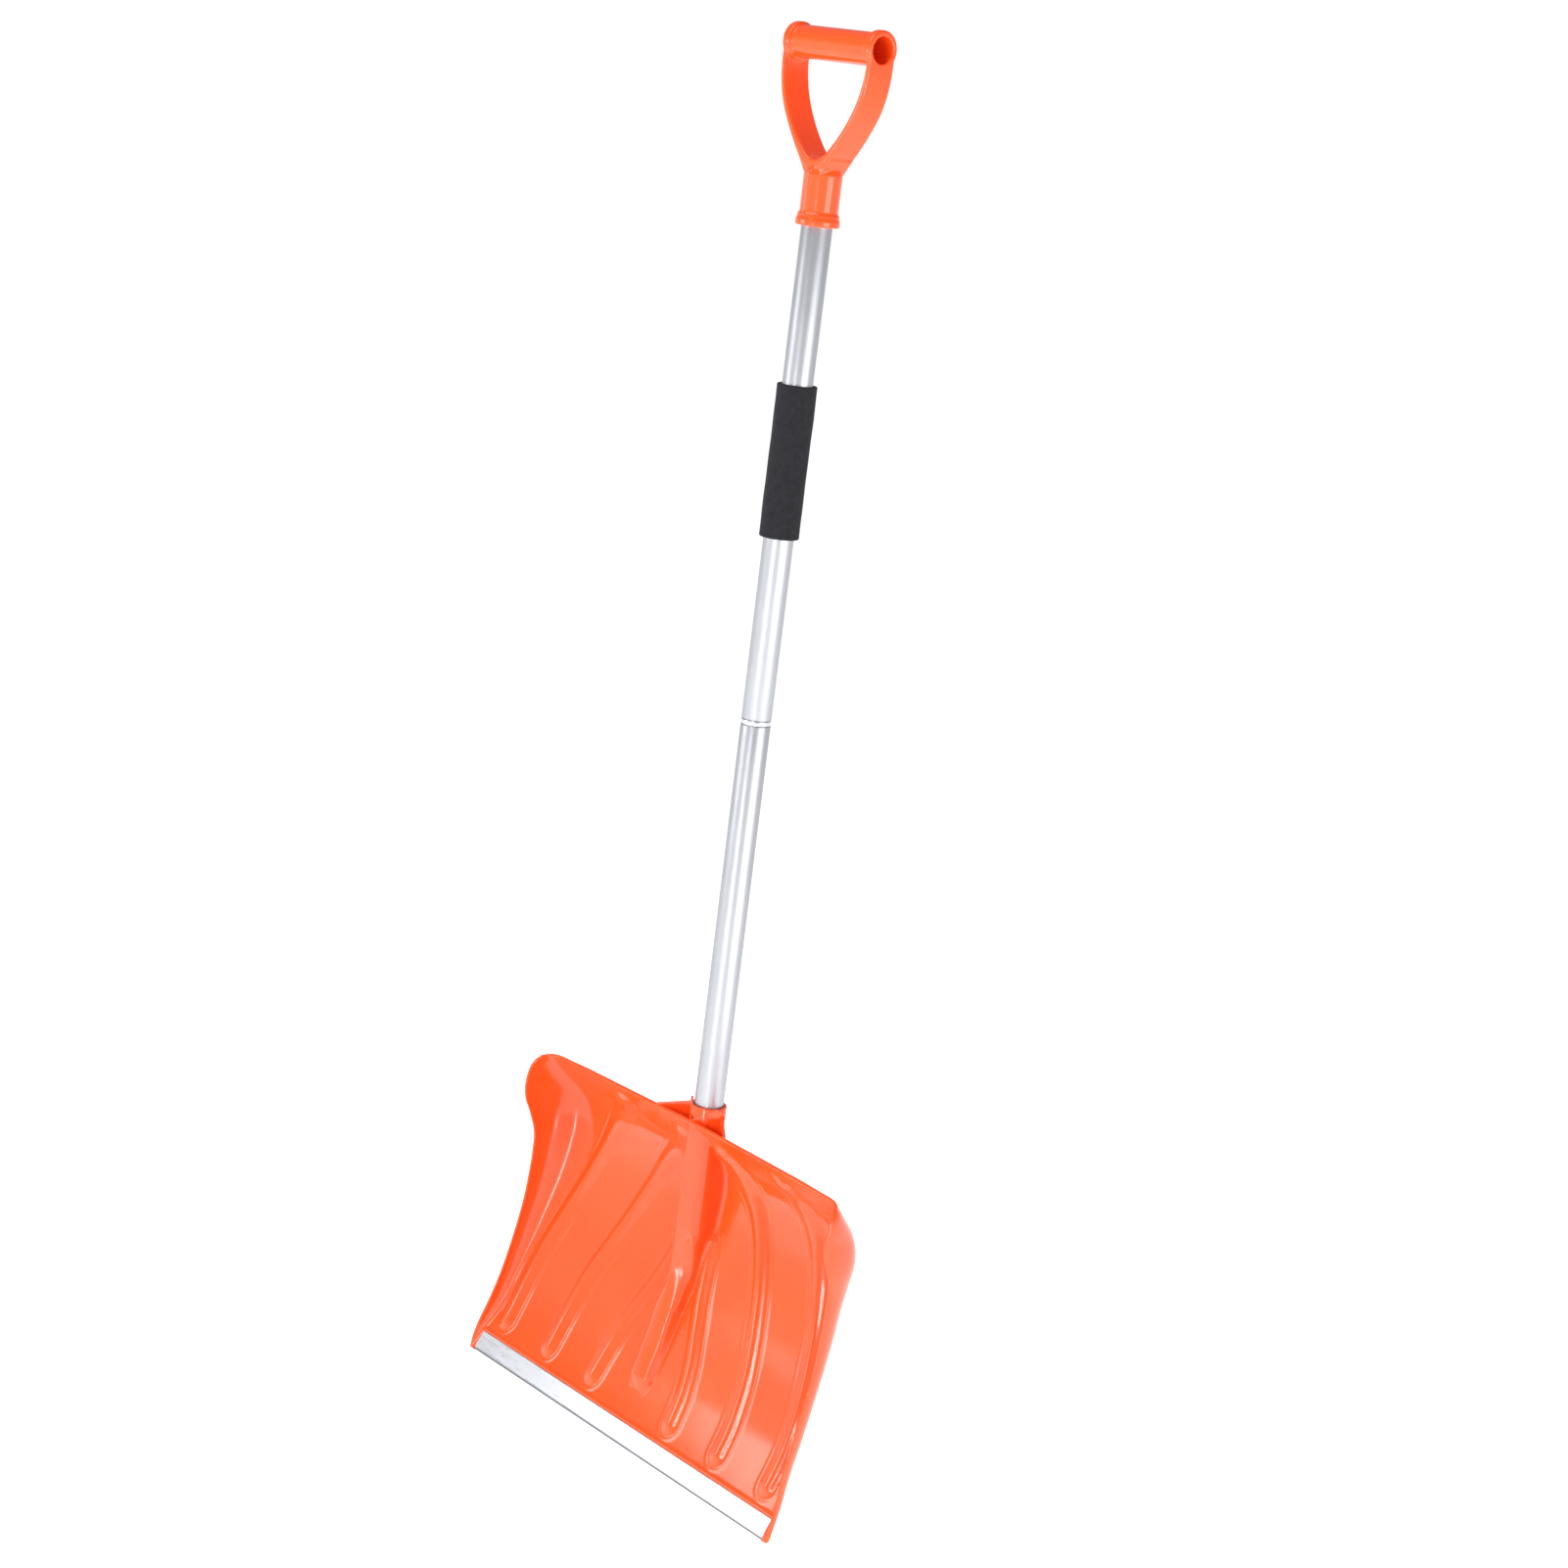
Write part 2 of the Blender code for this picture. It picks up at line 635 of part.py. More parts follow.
def strap_solid(mat):
    steps = 32
    depth = STRAP_DEPTH / 2
    edge = 1.2
    rings = []
    for i in range(steps + 1):
        out, inside = strap_outline(2.0 * (len(STRAP) - 1) * i / steps)
        step = (inside - out).normalized() * edge
        ring = [
            out + Vector((0, -depth + edge, 0)), out + step + Vector((0, -depth, 0)),
            inside - step + Vector((0, -depth, 0)), inside + Vector((0, -depth + edge, 0)),
            inside + Vector((0, depth - edge, 0)), inside - step + Vector((0, depth, 0)),
            out + step + Vector((0, depth, 0)), out + Vector((0, depth - edge, 0)),
        ]
        rings.append([tuple(p) for p in ring])
    verts, faces = stack(rings)
    return add_object("d_grip", verts, faces, mat)


def end_solid(name, side):
    """Round end of the grip bar: a disc with a small bevel that the strap's end runs into."""
    turn = Matrix.Rotation(math.pi / 2 * side, 3, "Y")
    outline = [(END_R - 0.8, 47.5), (END_R, 48.5), (END_R, GRIP_HALF - 1.2), (END_R - 1.2, GRIP_HALF)]
    rings = [[tuple(turn @ Vector(p) + Vector((0, 0, GRIP_Z))) for p in ring_points(r, z, 32)] for r, z in outline]
    verts, faces = stack(rings)
    return add_object(name, verts, faces, hidden=True)


def crotch_solid():
    """Filler between the strap's bottom and the socket, with a hollowed top."""
    stations = []
    for i in range(9):
        x = -21.0 + 42.0 * i / 8
        top = 1202.0 + 10.0 * (abs(x) / 21.0) ** 1.5
        bottom = 1186.0 + 22.0 * (abs(x) / 21.0) ** 1.3
        depth = 14.0 - 0.6 * abs(x) / 21.0
        stations.append([(x, -depth, bottom), (x, depth, bottom), (x, depth, top), (x, 0.0, top - 1.5), (x, -depth, top)])
    verts, faces = stack(stations)
    return add_object("crotch_form", verts, faces, hidden=True)


def build_grip(mat):
    grip = strap_solid(mat)
    combine(grip, rod("bar_form", (-51, 0, GRIP_Z), (1, 0, 0), BAR_R, 102.0, 32, hidden=True), "UNION")
    combine(grip, end_solid("end_form_right", 1.0), "UNION")
    combine(grip, end_solid("end_form_left", -1.0), "UNION")
    combine(grip, crotch_solid(), "UNION")
    low, high = SOCKET_Z
    collar_low, collar_high = COLLAR
    socket = turned("socket_form", [
        (collar_low[2] - 0.8, low), (collar_low[2], low + 0.8), (collar_low[2], collar_low[1] - 0.6),
        (collar_high[2] + 0.3, collar_low[1]), (collar_high[2], collar_high[1] - 0.8), (SOCKET_R, collar_high[1]),
        (SOCKET_R, high - 8.0), (SOCKET_R - 2.0, high - 2.0), (SOCKET_R - 6.0, high),
    ], 32, hidden=True)
    combine(grip, socket, "UNION")
    for side, name in ((-1, "fin_form_front"), (1, "fin_form_back")):
        y0, y1 = sorted((side * (SOCKET_R - 2.0), side * (SOCKET_R + 1.0)))
        ring = [(-1.5, y0), (1.5, y0), (1.5, y1), (-1.5, y1)]
        rings = [[(x, y, z) for x, y in ring] for z in (collar_high[1] - 1.0, 1197.5)]
        verts, faces = stack(rings)
        combine(grip, add_object(name, verts, faces, hidden=True), "UNION")
    bore = turned("grip_bore_form", [(TUBE_R + FIT_GAP, low - 5.0), (TUBE_R + FIT_GAP, SOCKET_BORE_TOP)], 32, hidden=True)
    combine(grip, bore, "DIFFERENCE")
    for side, name in ((1, "bar_bore_right"), (-1, "bar_bore_left")):
        start = (side * (GRIP_HALF - BAR_BORE_DEPTH), 0, GRIP_Z)
        hole = rod(name, start, (side, 0, 0), BAR_BORE_R, BAR_BORE_DEPTH + 5.0, 32, hidden=True)
        combine(grip, hole, "DIFFERENCE")
    combine(grip, screw_hole("grip_screw_hole", GRIP_SCREW_Z, SCREW_SHANK_R + FIT_GAP), "DIFFERENCE")
    return grip


def build_screw(name, z, surface, mat):
    """Pan-head screw driven in from the back, with a plain slot across its head."""
    turn = Vector((0, 1, 0)).to_track_quat("Z", "Y").to_matrix()
    head = surface + FIT_GAP
    outline = [
        (SCREW_SHANK_R - 0.6, 10.6), (SCREW_SHANK_R, 11.4), (SCREW_SHANK_R, head), (SCREW_HEAD_R, head),
        (SCREW_HEAD_R, head + 1.0), (SCREW_HEAD_R - 0.9, head + 1.9), (SCREW_HEAD_R - 2.2, head + 2.4),
    ]
    rings = [[tuple(turn @ Vector(p) + Vector((0, 0, z))) for p in ring_points(r, y, 20)] for r, y in outline]
    verts, faces = stack(rings)
    screw = add_object(name, verts, faces, mat)
    top = head + 2.4
    plan = [(-5.0, top - 1.1), (5.0, top - 1.1), (5.0, top + 1.0), (-5.0, top + 1.0)]
    slot = [[(x, y, z + dz) for x, y in plan] for dz in (-0.5, 0.5)]
    verts, faces = stack(slot)
    combine(screw, add_object(name + "_slot_form", verts, faces, hidden=True), "DIFFERENCE")
    return screw


def main():
    clear_scene()
    orange = material("orange_plastic", (0.90, 0.10, 0.02), roughness=0.35)
    grip_orange = material("orange_grip_plastic", (0.90, 0.10, 0.02), roughness=0.35)
    alloy = material("tube_aluminium", (0.72, 0.73, 0.76), metallic=1.0, roughness=0.35)
    ring_alloy = material("ring_aluminium", (0.82, 0.83, 0.85), metallic=1.0, roughness=0.22)
    strip_alloy = material("strip_aluminium", (0.76, 0.77, 0.79), metallic=1.0, roughness=0.3)
    foam = material("black_foam", (0.03, 0.03, 0.034), roughness=0.9)
    black = material("black_plastic", (0.02, 0.02, 0.022), roughness=0.5)
    steel = material("screw_steel", (0.6, 0.6, 0.62), metallic=1.0, roughness=0.3)

    build_blade(orange)
    build_wear_strip(strip_alloy)
    build_lower_tube(alloy)
    build_upper_tube(alloy)
    build_joint_ring(ring_alloy)
    build_threaded_plug(black)
    build_threaded_insert(black)
    build_foam(foam)
    build_grip(grip_orange)
    build_screw("grip_screw", GRIP_SCREW_Z, SOCKET_R + 1.0, steel)
    build_screw("socket_screw", SOCKET_SCREW_Z, HOUSING_R, steel)

    for obj in bpy.data.objects:
        obj.location.z -= GRIP_Z * MM


if __name__ == "__main__":
    main()
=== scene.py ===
"""Snow shovel: the visible pieces built round its CAD frame, with their finishes, stage and camera.

Sizes are in millimetres, measured upwards from the scoop's lower edge with the shaft's axis at x = y = 0
and the open side facing -Y, until to_world() turns them into metres in the frame's own place.
"""

import math

import bmesh
import bpy
import numpy as np
from mathutils import Matrix, Vector


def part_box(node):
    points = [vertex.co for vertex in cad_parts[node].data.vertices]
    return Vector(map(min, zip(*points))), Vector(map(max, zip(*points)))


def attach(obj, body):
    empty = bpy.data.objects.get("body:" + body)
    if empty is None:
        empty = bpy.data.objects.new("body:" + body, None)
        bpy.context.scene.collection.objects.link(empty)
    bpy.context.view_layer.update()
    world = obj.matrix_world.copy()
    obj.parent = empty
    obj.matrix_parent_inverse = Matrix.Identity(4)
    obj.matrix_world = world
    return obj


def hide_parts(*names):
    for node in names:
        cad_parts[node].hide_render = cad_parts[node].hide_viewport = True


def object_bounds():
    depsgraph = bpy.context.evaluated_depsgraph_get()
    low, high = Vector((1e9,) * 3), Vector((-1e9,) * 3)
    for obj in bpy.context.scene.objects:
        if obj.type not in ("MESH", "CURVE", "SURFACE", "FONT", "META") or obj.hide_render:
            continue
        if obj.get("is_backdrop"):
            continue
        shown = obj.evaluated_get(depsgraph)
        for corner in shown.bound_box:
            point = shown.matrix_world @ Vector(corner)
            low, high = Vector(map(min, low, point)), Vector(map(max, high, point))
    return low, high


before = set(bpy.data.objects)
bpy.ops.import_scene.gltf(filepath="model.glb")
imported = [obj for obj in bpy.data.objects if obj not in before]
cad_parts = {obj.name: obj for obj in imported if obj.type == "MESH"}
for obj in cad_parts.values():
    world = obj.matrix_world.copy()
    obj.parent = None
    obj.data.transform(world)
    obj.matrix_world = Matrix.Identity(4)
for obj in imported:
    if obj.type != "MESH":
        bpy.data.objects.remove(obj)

bl_info = {
    "name": "Snow Shovel Finish",
    "version": (1, 0, 0),
    "blender": (4, 5, 0),
    "location": "3D View > Sidebar > Shovel",
    "description": "Builds the visible pieces of a sectional snow shovel round its CAD frame",
    "category": "Object",
}

CAD_LOW, CAD_HIGH = (list(corner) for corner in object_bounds())
MM = 0.001

# ---------------------------------------------------------------- shapes of the scoop

# Slope of the flat lower edge: y and z of a unit step up the face
EDGE_UP = (0.51234, 0.85879)
STRIP_HEIGHT = 20.4
STRIP_HALF = 221.5
STRIP_GAUGE = 0.8
EDGE_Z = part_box("wear_strip")[1].z - STRIP_HEIGHT * EDGE_UP[1] * MM

# Middle of the scoop: y and z of the front face from the lower edge up to the rim
PROFILE = (
    (-75.0, 0.0), (-64.5, 17.6), (-53.2, 36.0), (-40.6, 60.0), (-29.8, 85.0), (-17.2, 117.0),
    (-4.2, 150.0), (5.4, 178.0), (12.2, 204.0), (16.2, 225.0), (17.9, 245.0), (16.2, 262.0),
    (9.2, 277.5), (-1.9, 291.0), (-13.4, 303.4), (-22.6, 313.2),
)
# Free edge of the side: x, y and z beside each point of the profile
SIDE_EDGE = (
    (228.0, -75.0, 0.0), (226.4, -69.6, 18.5), (223.7, -63.8, 38.0), (220.5, -57.4, 60.0),
    (219.3, -49.4, 85.0), (218.5, -41.2, 117.0), (217.9, -34.2, 150.0), (217.6, -30.7, 178.0),
    (217.7, -28.8, 204.0), (218.6, -28.7, 226.0), (221.3, -34.0, 246.0), (221.8, -41.4, 262.0),
    (221.1, -44.0, 275.5), (221.0, -42.6, 288.0), (219.4, -39.0, 299.4), (214.1, -33.0, 307.4),
)
# How far in from the side the face starts to turn forward, beside each point of the profile
TURN_IN = (
    4.0, 6.6, 9.5, 14.0, 18.0, 24.5, 33.0, 38.0, 42.5, 44.5, 45.0, 45.0, 44.5, 43.0, 38.0, 25.0,
)
RIM_FALL = 3.0
# Fineness of the scoop's surface: columns over half the face and in the turned side, step between rows and
# steps round its free edge
FACE_COLUMNS = 132
SIDE_COLUMNS = 28
ROW_STEP = 0.06
EDGE_STEPS = 5
# Depth of the strip's seat in each surface
SEAT_DEPTH = 1.15
HALF_WIDTH = 228.0
TOP_ROW = len(PROFILE) - 1

# Centre lines of the side ribs: height and distance across, from the lower end up
RIBS = (
    ((37.0, 59.5), (62.0, 57.0), (87.0, 51.5), (118.0, 40.0), (146.0, 29.5), (192.0, 18.0)),
    ((37.0, 129.5), (66.0, 128.0), (106.0, 121.5), (134.0, 112.5), (166.0, 100.5), (206.0, 84.5),
     (242.0, 66.5), (265.0, 48.0), (290.0, 28.0)),
    ((37.0, 200.0), (70.0, 199.5), (110.0, 194.5), (155.0, 183.0), (185.0, 173.0), (222.0, 159.5),
     (252.0, 146.0), (275.0, 130.0), (298.0, 114.0)),
)
RIB_HALF = 12.5
RIB_TOP = 311.0

# Ridge over the tube: height and y of its crest
RIDGE = (
    (60.0, -51.5), (76.0, -46.0), (93.0, -40.0), (120.0, -32.5), (144.0, -26.5), (168.0, -22.8),
    (320.0, -22.5),
)
HOUSING_R = 17.3
CREST_Y = -22.5
RIDGE_END = 45.0
RIDGE_HALF = 14.5
RIDGE_TOP = 312.0
# Socket: top of its housing, height of the scoop's rim, length of the plates and of their slope, bore
HOUSING_TOP = 328.5
RIM_Z = 315.4
PLATE_LENGTH = 33.0
PLATE_SLOPE_LENGTH = 23.1
BORE_R = 14.3
# Shaft: wall of the tubes and radius inside the ring
TUBE_WALL = 1.5
RING_BORE = 10.9
# Prow: depth of its floor below the rim, thickness of its plates and of the webs
PROW_FLOOR = 3.0
PLATE = 1.9
WEB = 2.8
WEB_FOOT = (49.5, -21.0)
WEB_HEAD = (14.9, 3.0)
# Part of the way from the web's foot to its head, and its lower and upper edge there
WEB_EDGES = ((0.0, 312.6, 315.6), (0.34, 304.8, 319.3), (0.83, 292.8, 324.8), (1.0, 288.4, 326.8))


class ShovelSizes(bpy.types.PropertyGroup):
    """Sizes that change how the moulded and pressed pieces look"""

    sheet: bpy.props.FloatProperty(
        name="Scoop sheet", description="Thickness of the scoop's moulded sheet",
        default=3.4 * MM, min=0.002, max=0.005, unit="LENGTH",
    )
    rib_height: bpy.props.FloatProperty(
        name="Rib height", description="How far the side ribs stand out of the scoop's face",
        default=4.8 * MM, min=0.0, max=0.008, unit="LENGTH",
    )
    lip_height: bpy.props.FloatProperty(
        name="Lip height", description="Height of the small moulded lip above the wear strip",
        default=0.7 * MM, min=0.0, max=0.002, unit="LENGTH",
    )
    foam_wave: bpy.props.FloatProperty(
        name="Foam wave", description="Unevenness of the foam sleeve's surface",
        default=0.25 * MM, min=0.0, max=0.001, unit="LENGTH",
    )
    grip_fillet: bpy.props.IntProperty(
        name="Grip fillet", description="Smoothing passes that round the hand grip's corners",
        default=5, min=0, max=20,
    )


class ShovelColours(bpy.types.PropertyGroup):
    """Colours of the finishes"""

    orange: bpy.props.FloatVectorProperty(
        name="Orange plastic", description="Body colour of the scoop and the hand grip",
        default=(0.95, 0.085, 0.010), subtype="COLOR", min=0.0, max=1.0,
    )
    alloy: bpy.props.FloatVectorProperty(
        name="Aluminium", description="Colour of the tubes, joint ring and wear strip",
        default=(0.47, 0.48, 0.51), subtype="COLOR", min=0.0, max=1.0,
    )
    foam: bpy.props.FloatVectorProperty(
        name="Foam", description="Colour of the hand sleeve on the shaft",
        default=(0.014, 0.014, 0.017), subtype="COLOR", min=0.0, max=1.0,
    )
    floor: bpy.props.FloatVectorProperty(
        name="Floor", description="Colour of the studio floor and backdrop",
        default=(0.93, 0.93, 0.93), subtype="COLOR", min=0.0, max=1.0,
    )


# ---------------------------------------------------------------- mesh helpers

def smooth(t):
    """Eased step from 0 to 1."""
    t = np.clip(t, 0.0, 1.0)
    return t * t * (3 - 2 * t)


def curve(at, places, values):
    """Smooth curve through values at rising places, held level past its ends."""
    places = np.asarray(places, float)
    values = np.asarray(values, float)
    slopes = np.empty_like(values)
    slopes[1:-1] = (values[2:] - values[:-2]) / (places[2:] - places[:-2])
    slopes[0] = (values[1] - values[0]) / (places[1] - places[0])
    slopes[-1] = (values[-1] - values[-2]) / (places[-1] - places[-2])
    at = np.clip(at, places[0], places[-1])
    k = np.clip(np.searchsorted(places, at, side="right") - 1, 0, len(places) - 2)
    span = places[k + 1] - places[k]
    t = (at - places[k]) / span
    t2, t3 = t * t, t * t * t
    rise = (t3 - 2 * t2 + t) * slopes[k] * span + (t3 - t2) * slopes[k + 1] * span
    return (2 * t3 - 3 * t2 + 1) * values[k] + (3 * t2 - 2 * t3) * values[k + 1] + rise


def column(table, c, row):
    """One column of a table at whole or part row numbers."""
    values = [line[c] if isinstance(line, tuple) else line for line in table]
    return curve(row, range(len(values)), values)


def to_world(points):
    """Points in millimetres above the scoop's edge, as metres in the frame's place."""
    return np.asarray(points, float) * MM + (0.0, 0.0, EDGE_Z)


def mesh_piece(name, parts, finish, body, sharp=40.0):
    """One object from a list of (points, faces) shells, smooth but for its sharp edges, on its body."""
    verts, faces = [], []
    for points, polys in parts:
        first = len(verts)
        verts += [tuple(p) for p in to_world(points)]
        faces += [tuple(first + i for i in poly) for poly in polys]
    mesh = bpy.data.meshes.new(name)
    mesh.from_pydata(verts, [], faces)
    mesh.validate()
    bm = bmesh.new()
    bm.from_mesh(mesh)
    bmesh.ops.recalc_face_normals(bm, faces=bm.faces)
    bm.to_mesh(mesh)
    bm.free()
    mesh.shade_smooth()
    mesh.set_sharp_from_angle(angle=math.radians(sharp))
    obj = bpy.data.objects.new(name, mesh)
    bpy.context.scene.collection.objects.link(obj)
    mesh.materials.append(finish)
    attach(obj, body)
    return obj


def turned(outline, count):
    """A closed turned shell from a (radius, z) outline; an end on the axis closes to a point."""
    step = 2 * math.pi / count
    verts, rings = [], []
    for r, z in outline:
        if r == 0.0:
            rings.append([len(verts)] * count)
            verts.append((0.0, 0.0, z))
            continue
        rings.append(list(range(len(verts), len(verts) + count)))
        verts += [(r * math.cos(i * step), r * math.sin(i * step), z) for i in range(count)]
    loop = outline[0][0] != 0.0
    faces = []
    for k in range(len(rings) if loop else len(rings) - 1):
        low, high = rings[k], rings[(k + 1) % len(rings)]
        for i in range(count):
            j = (i + 1) % count
            poly = [low[i], low[j], high[j], high[i]]
            faces.append(tuple(dict.fromkeys(poly)))
    return verts, faces


def loft(outlines, bevel=0.0):
    """A closed block through outlines with as many points each, its edges rounded by bevel."""
    bm = bmesh.new()
    rings = [[bm.verts.new(p) for p in outline] for outline in outlines]
    bm.faces.new(rings[0][::-1])
    bm.faces.new(rings[-1])
    for low, high in zip(rings, rings[1:]):
        for i in range(len(low)):
            j = (i + 1) % len(low)
            bm.faces.new((low[i], low[j], high[j], high[i]))
    if bevel:
        sharp = [e for e in bm.edges if e.calc_face_angle(0.0) > math.radians(25)]
        bmesh.ops.bevel(bm, geom=sharp, offset=bevel, segments=2, profile=0.6, affect="EDGES")
    bm.verts.index_update()
    points = [tuple(v.co) for v in bm.verts]
    faces = [tuple(v.index for v in f.verts) for f in bm.faces]
    bm.free()
    return points, faces


# ---------------------------------------------------------------- finishes

class Finish:
    """A node material built step by step round one Principled shader."""

    def __init__(self, name, colour, roughness, metallic=0.0):
        self.mat = bpy.data.materials.new(name)
        self.mat.use_nodes = True
        self.tree = self.mat.node_tree
        self.shader = self.tree.nodes["Principled BSDF"]
        self.shader.inputs["Base Color"].default_value = (*colour, 1.0)
        self.shader.inputs["Roughness"].default_value = roughness
        self.shader.inputs["Metallic"].default_value = metallic
        self.place = self.tree.nodes.new("ShaderNodeTexCoord")
        self.height = None

    def node(self, kind, **settings):
        """A new node with the settings given."""
        made = self.tree.nodes.new(kind)
        for key, value in settings.items():
            setattr(made, key, value)
        return made

    def link(self, out, into):
        """Joins one node's output to another's input."""
        self.tree.links.new(out, into)

    def grain(self, scale, stretch=(1, 1, 1), detail=4.0, rough=0.55):
        """Noise in the object's own place, per metre, squeezed along each axis by stretch."""
        mapping = self.node("ShaderNodeMapping")
        mapping.inputs["Scale"].default_value = stretch
        noise = self.node("ShaderNodeTexNoise")
        noise.inputs["Scale"].default_value = scale
        noise.inputs["Detail"].default_value = detail
        noise.inputs["Roughness"].default_value = rough
        self.link(self.place.outputs["Object"], mapping.inputs["Vector"])
        self.link(mapping.outputs["Vector"], noise.inputs["Vector"])
        return noise.outputs["Fac"]

    def cells(self, scale):
        """Small closed cells, per metre."""
        pores = self.node("ShaderNodeTexVoronoi", feature="SMOOTH_F1")
        pores.inputs["Scale"].default_value = scale
        pores.inputs["Smoothness"].default_value = 0.6
        self.link(self.place.outputs["Object"], pores.inputs["Vector"])
        return pores.outputs["Distance"]

    def band(self, source, low, high, to_low, to_high):
        """Source between low and high, spread from to_low to to_high."""
        spread = self.node("ShaderNodeMapRange")
        spread.inputs["From Min"].default_value = low
        spread.inputs["From Max"].default_value = high
        spread.inputs["To Min"].default_value = to_low
        spread.inputs["To Max"].default_value = to_high
        self.link(source, spread.inputs["Value"])
        return spread.outputs["Result"]

    def tint(self, factor, first, second):
        """Body colour between two colours by a factor."""
        mix = self.node("ShaderNodeMix", data_type="RGBA")
        mix.inputs["A"].default_value = (*first, 1.0)
        mix.inputs["B"].default_value = (*second, 1.0)
        self.link(factor, mix.inputs["Factor"])
        self.link(mix.outputs["Result"], self.shader.inputs["Base Color"])

    def gloss(self, factor):
        """Roughness from a varying value."""
        self.link(factor, self.shader.inputs["Roughness"])

    def relief(self, source, depth, strength=1.0):
        """Adds a bump of a real depth in metres on top of the last."""
        bump = self.node("ShaderNodeBump")
        bump.inputs["Strength"].default_value = strength
        bump.inputs["Distance"].default_value = depth
        self.link(source, bump.inputs["Height"])
        if self.height:
            self.link(self.height, bump.inputs["Normal"])
        self.height = bump.outputs["Normal"]
        self.link(self.height, self.shader.inputs["Normal"])


def shade(colour, factor):
    """A colour made darker or lighter."""
    return tuple(min(1.0, c * factor) for c in colour)


def orange_plastic(name, colour, flow):
    """Semi-gloss moulded plastic with faint flow marks, fine skin texture and light scuffs."""
    f = Finish(name, colour, 0.15)
    f.shader.inputs["IOR"].default_value = 1.5
    f.shader.inputs["Coat Weight"].default_value = 0.12
    f.shader.inputs["Coat Roughness"].default_value = 0.12
    deep = (colour[0] * 0.97, colour[1] * 0.88, colour[2] * 0.8)
    f.tint(f.band(f.grain(14.0, flow, 3.0), 0.35, 0.65, 0.0, 1.0), deep, colour)
    f.gloss(f.band(f.grain(90.0, (1, 1, 1), 6.0, 0.65), 0.3, 0.75, 0.11, 0.18))
    f.relief(f.grain(1100.0, (1, 1, 1), 2.0), 0.00001, 0.5)
    f.relief(f.grain(38.0, flow, 1.0), 0.0001, 0.3)
    return f.mat


def satin_alloy(name, colour, roughness, stretch, lines):
    """Drawn or rolled aluminium: fine lines along the metal and cloudy changes of gloss."""
    f = Finish(name, colour, roughness, 1.0)
    f.tint(f.band(f.grain(22.0, (1, 1, 1), 3.0), 0.3, 0.7, 0.0, 1.0), shade(colour, 0.93), colour)
    f.gloss(f.band(f.grain(lines, stretch, 5.0, 0.7), 0.25, 0.75, roughness - 0.07, roughness + 0.08))
    f.relief(f.grain(lines, stretch, 3.0, 0.6), 0.00001, 0.25)
    return f.mat


def painted_fold_shade(mat, level, rise):
    """Paints shade into a strip's colour along its lowest rise: a dark line for the fold's shaded
    underside.
    """
    tree = mat.node_tree
    shader = tree.nodes["Principled BSDF"]
    place, parts = tree.nodes.new("ShaderNodeTexCoord"), tree.nodes.new("ShaderNodeSeparateXYZ")
    near, mix = tree.nodes.new("ShaderNodeMapRange"), tree.nodes.new("ShaderNodeMix")
    near.inputs["From Min"].default_value = level + rise
    near.inputs["From Max"].default_value = level + rise * 0.4
    mix.data_type = "RGBA"
    # Painted shade: dark grey colour for the underside of the fold, where little light reflects
    mix.inputs["B"].default_value = (0.14, 0.14, 0.15, 1.0)
    body = shader.inputs["Base Color"].links[0].from_socket
    tree.links.new(place.outputs["Object"], parts.inputs["Vector"])
    tree.links.new(parts.outputs["Z"], near.inputs["Value"])
    tree.links.new(near.outputs["Result"], mix.inputs["Factor"])
    tree.links.new(body, mix.inputs["A"])
    tree.links.new(mix.outputs["Result"], shader.inputs["Base Color"])
    return mat


def closed_foam(name, colour):
    """Matte closed-cell foam with a pored skin and slightly paler patches."""
    f = Finish(name, colour, 0.9)
    f.shader.inputs["Sheen Weight"].default_value = 0.04
    f.shader.inputs["Specular IOR Level"].default_value = 0.25
    f.shader.inputs["Sheen Roughness"].default_value = 0.5
    f.shader.inputs["Sheen Tint"].default_value = (0.8, 0.8, 0.85, 1.0)
    patches = f.band(f.grain(120.0, (1, 1, 1), 5.0), 0.3, 0.72, 0.0, 1.0)
    f.tint(patches, shade(colour, 0.8), shade(colour, 1.15))
    f.gloss(f.band(f.grain(260.0, (1, 1, 1), 3.0), 0.3, 0.7, 0.8, 0.98))
    f.relief(f.cells(900.0), 0.00025, 0.6)
    f.relief(f.grain(80.0, (1, 1, 0.5), 4.0), 0.0004, 0.5)
    return f.mat


def dark_plastic(name):
    """Black moulded plastic with a fine matte skin."""
    f = Finish(name, (0.02, 0.02, 0.022), 0.45)
    f.tint(f.band(f.grain(60.0), 0.3, 0.7, 0.0, 1.0), (0.016, 0.016, 0.018), (0.032, 0.032, 0.034))
    f.gloss(f.band(f.grain(140.0), 0.3, 0.7, 0.36, 0.58))
    f.relief(f.grain(500.0, (1, 1, 1), 2.0), 0.00004, 0.5)
    return f.mat


def zinc_steel(name):
    """Zinc-plated steel with cloudy changes of tone and gloss."""
    f = Finish(name, (0.62, 0.63, 0.66), 0.3, 1.0)
    f.tint(f.band(f.grain(240.0), 0.3, 0.7, 0.0, 1.0), (0.50, 0.51, 0.53), (0.70, 0.71, 0.73))
    f.gloss(f.band(f.grain(400.0, (1, 1, 1), 5.0), 0.3, 0.7, 0.2, 0.42))
    f.relief(f.grain(900.0, (1, 1, 1), 2.0), 0.00002, 0.4)
    return f.mat


def finish_named(name, make, *details):
    """The finish of that name, made once."""
    return bpy.data.materials.get(name) or make(name, *details)


def colours():
    return bpy.context.scene.shovel_colours


def sizes():
    return bpy.context.scene.shovel_sizes


# ---------------------------------------------------------------- scoop

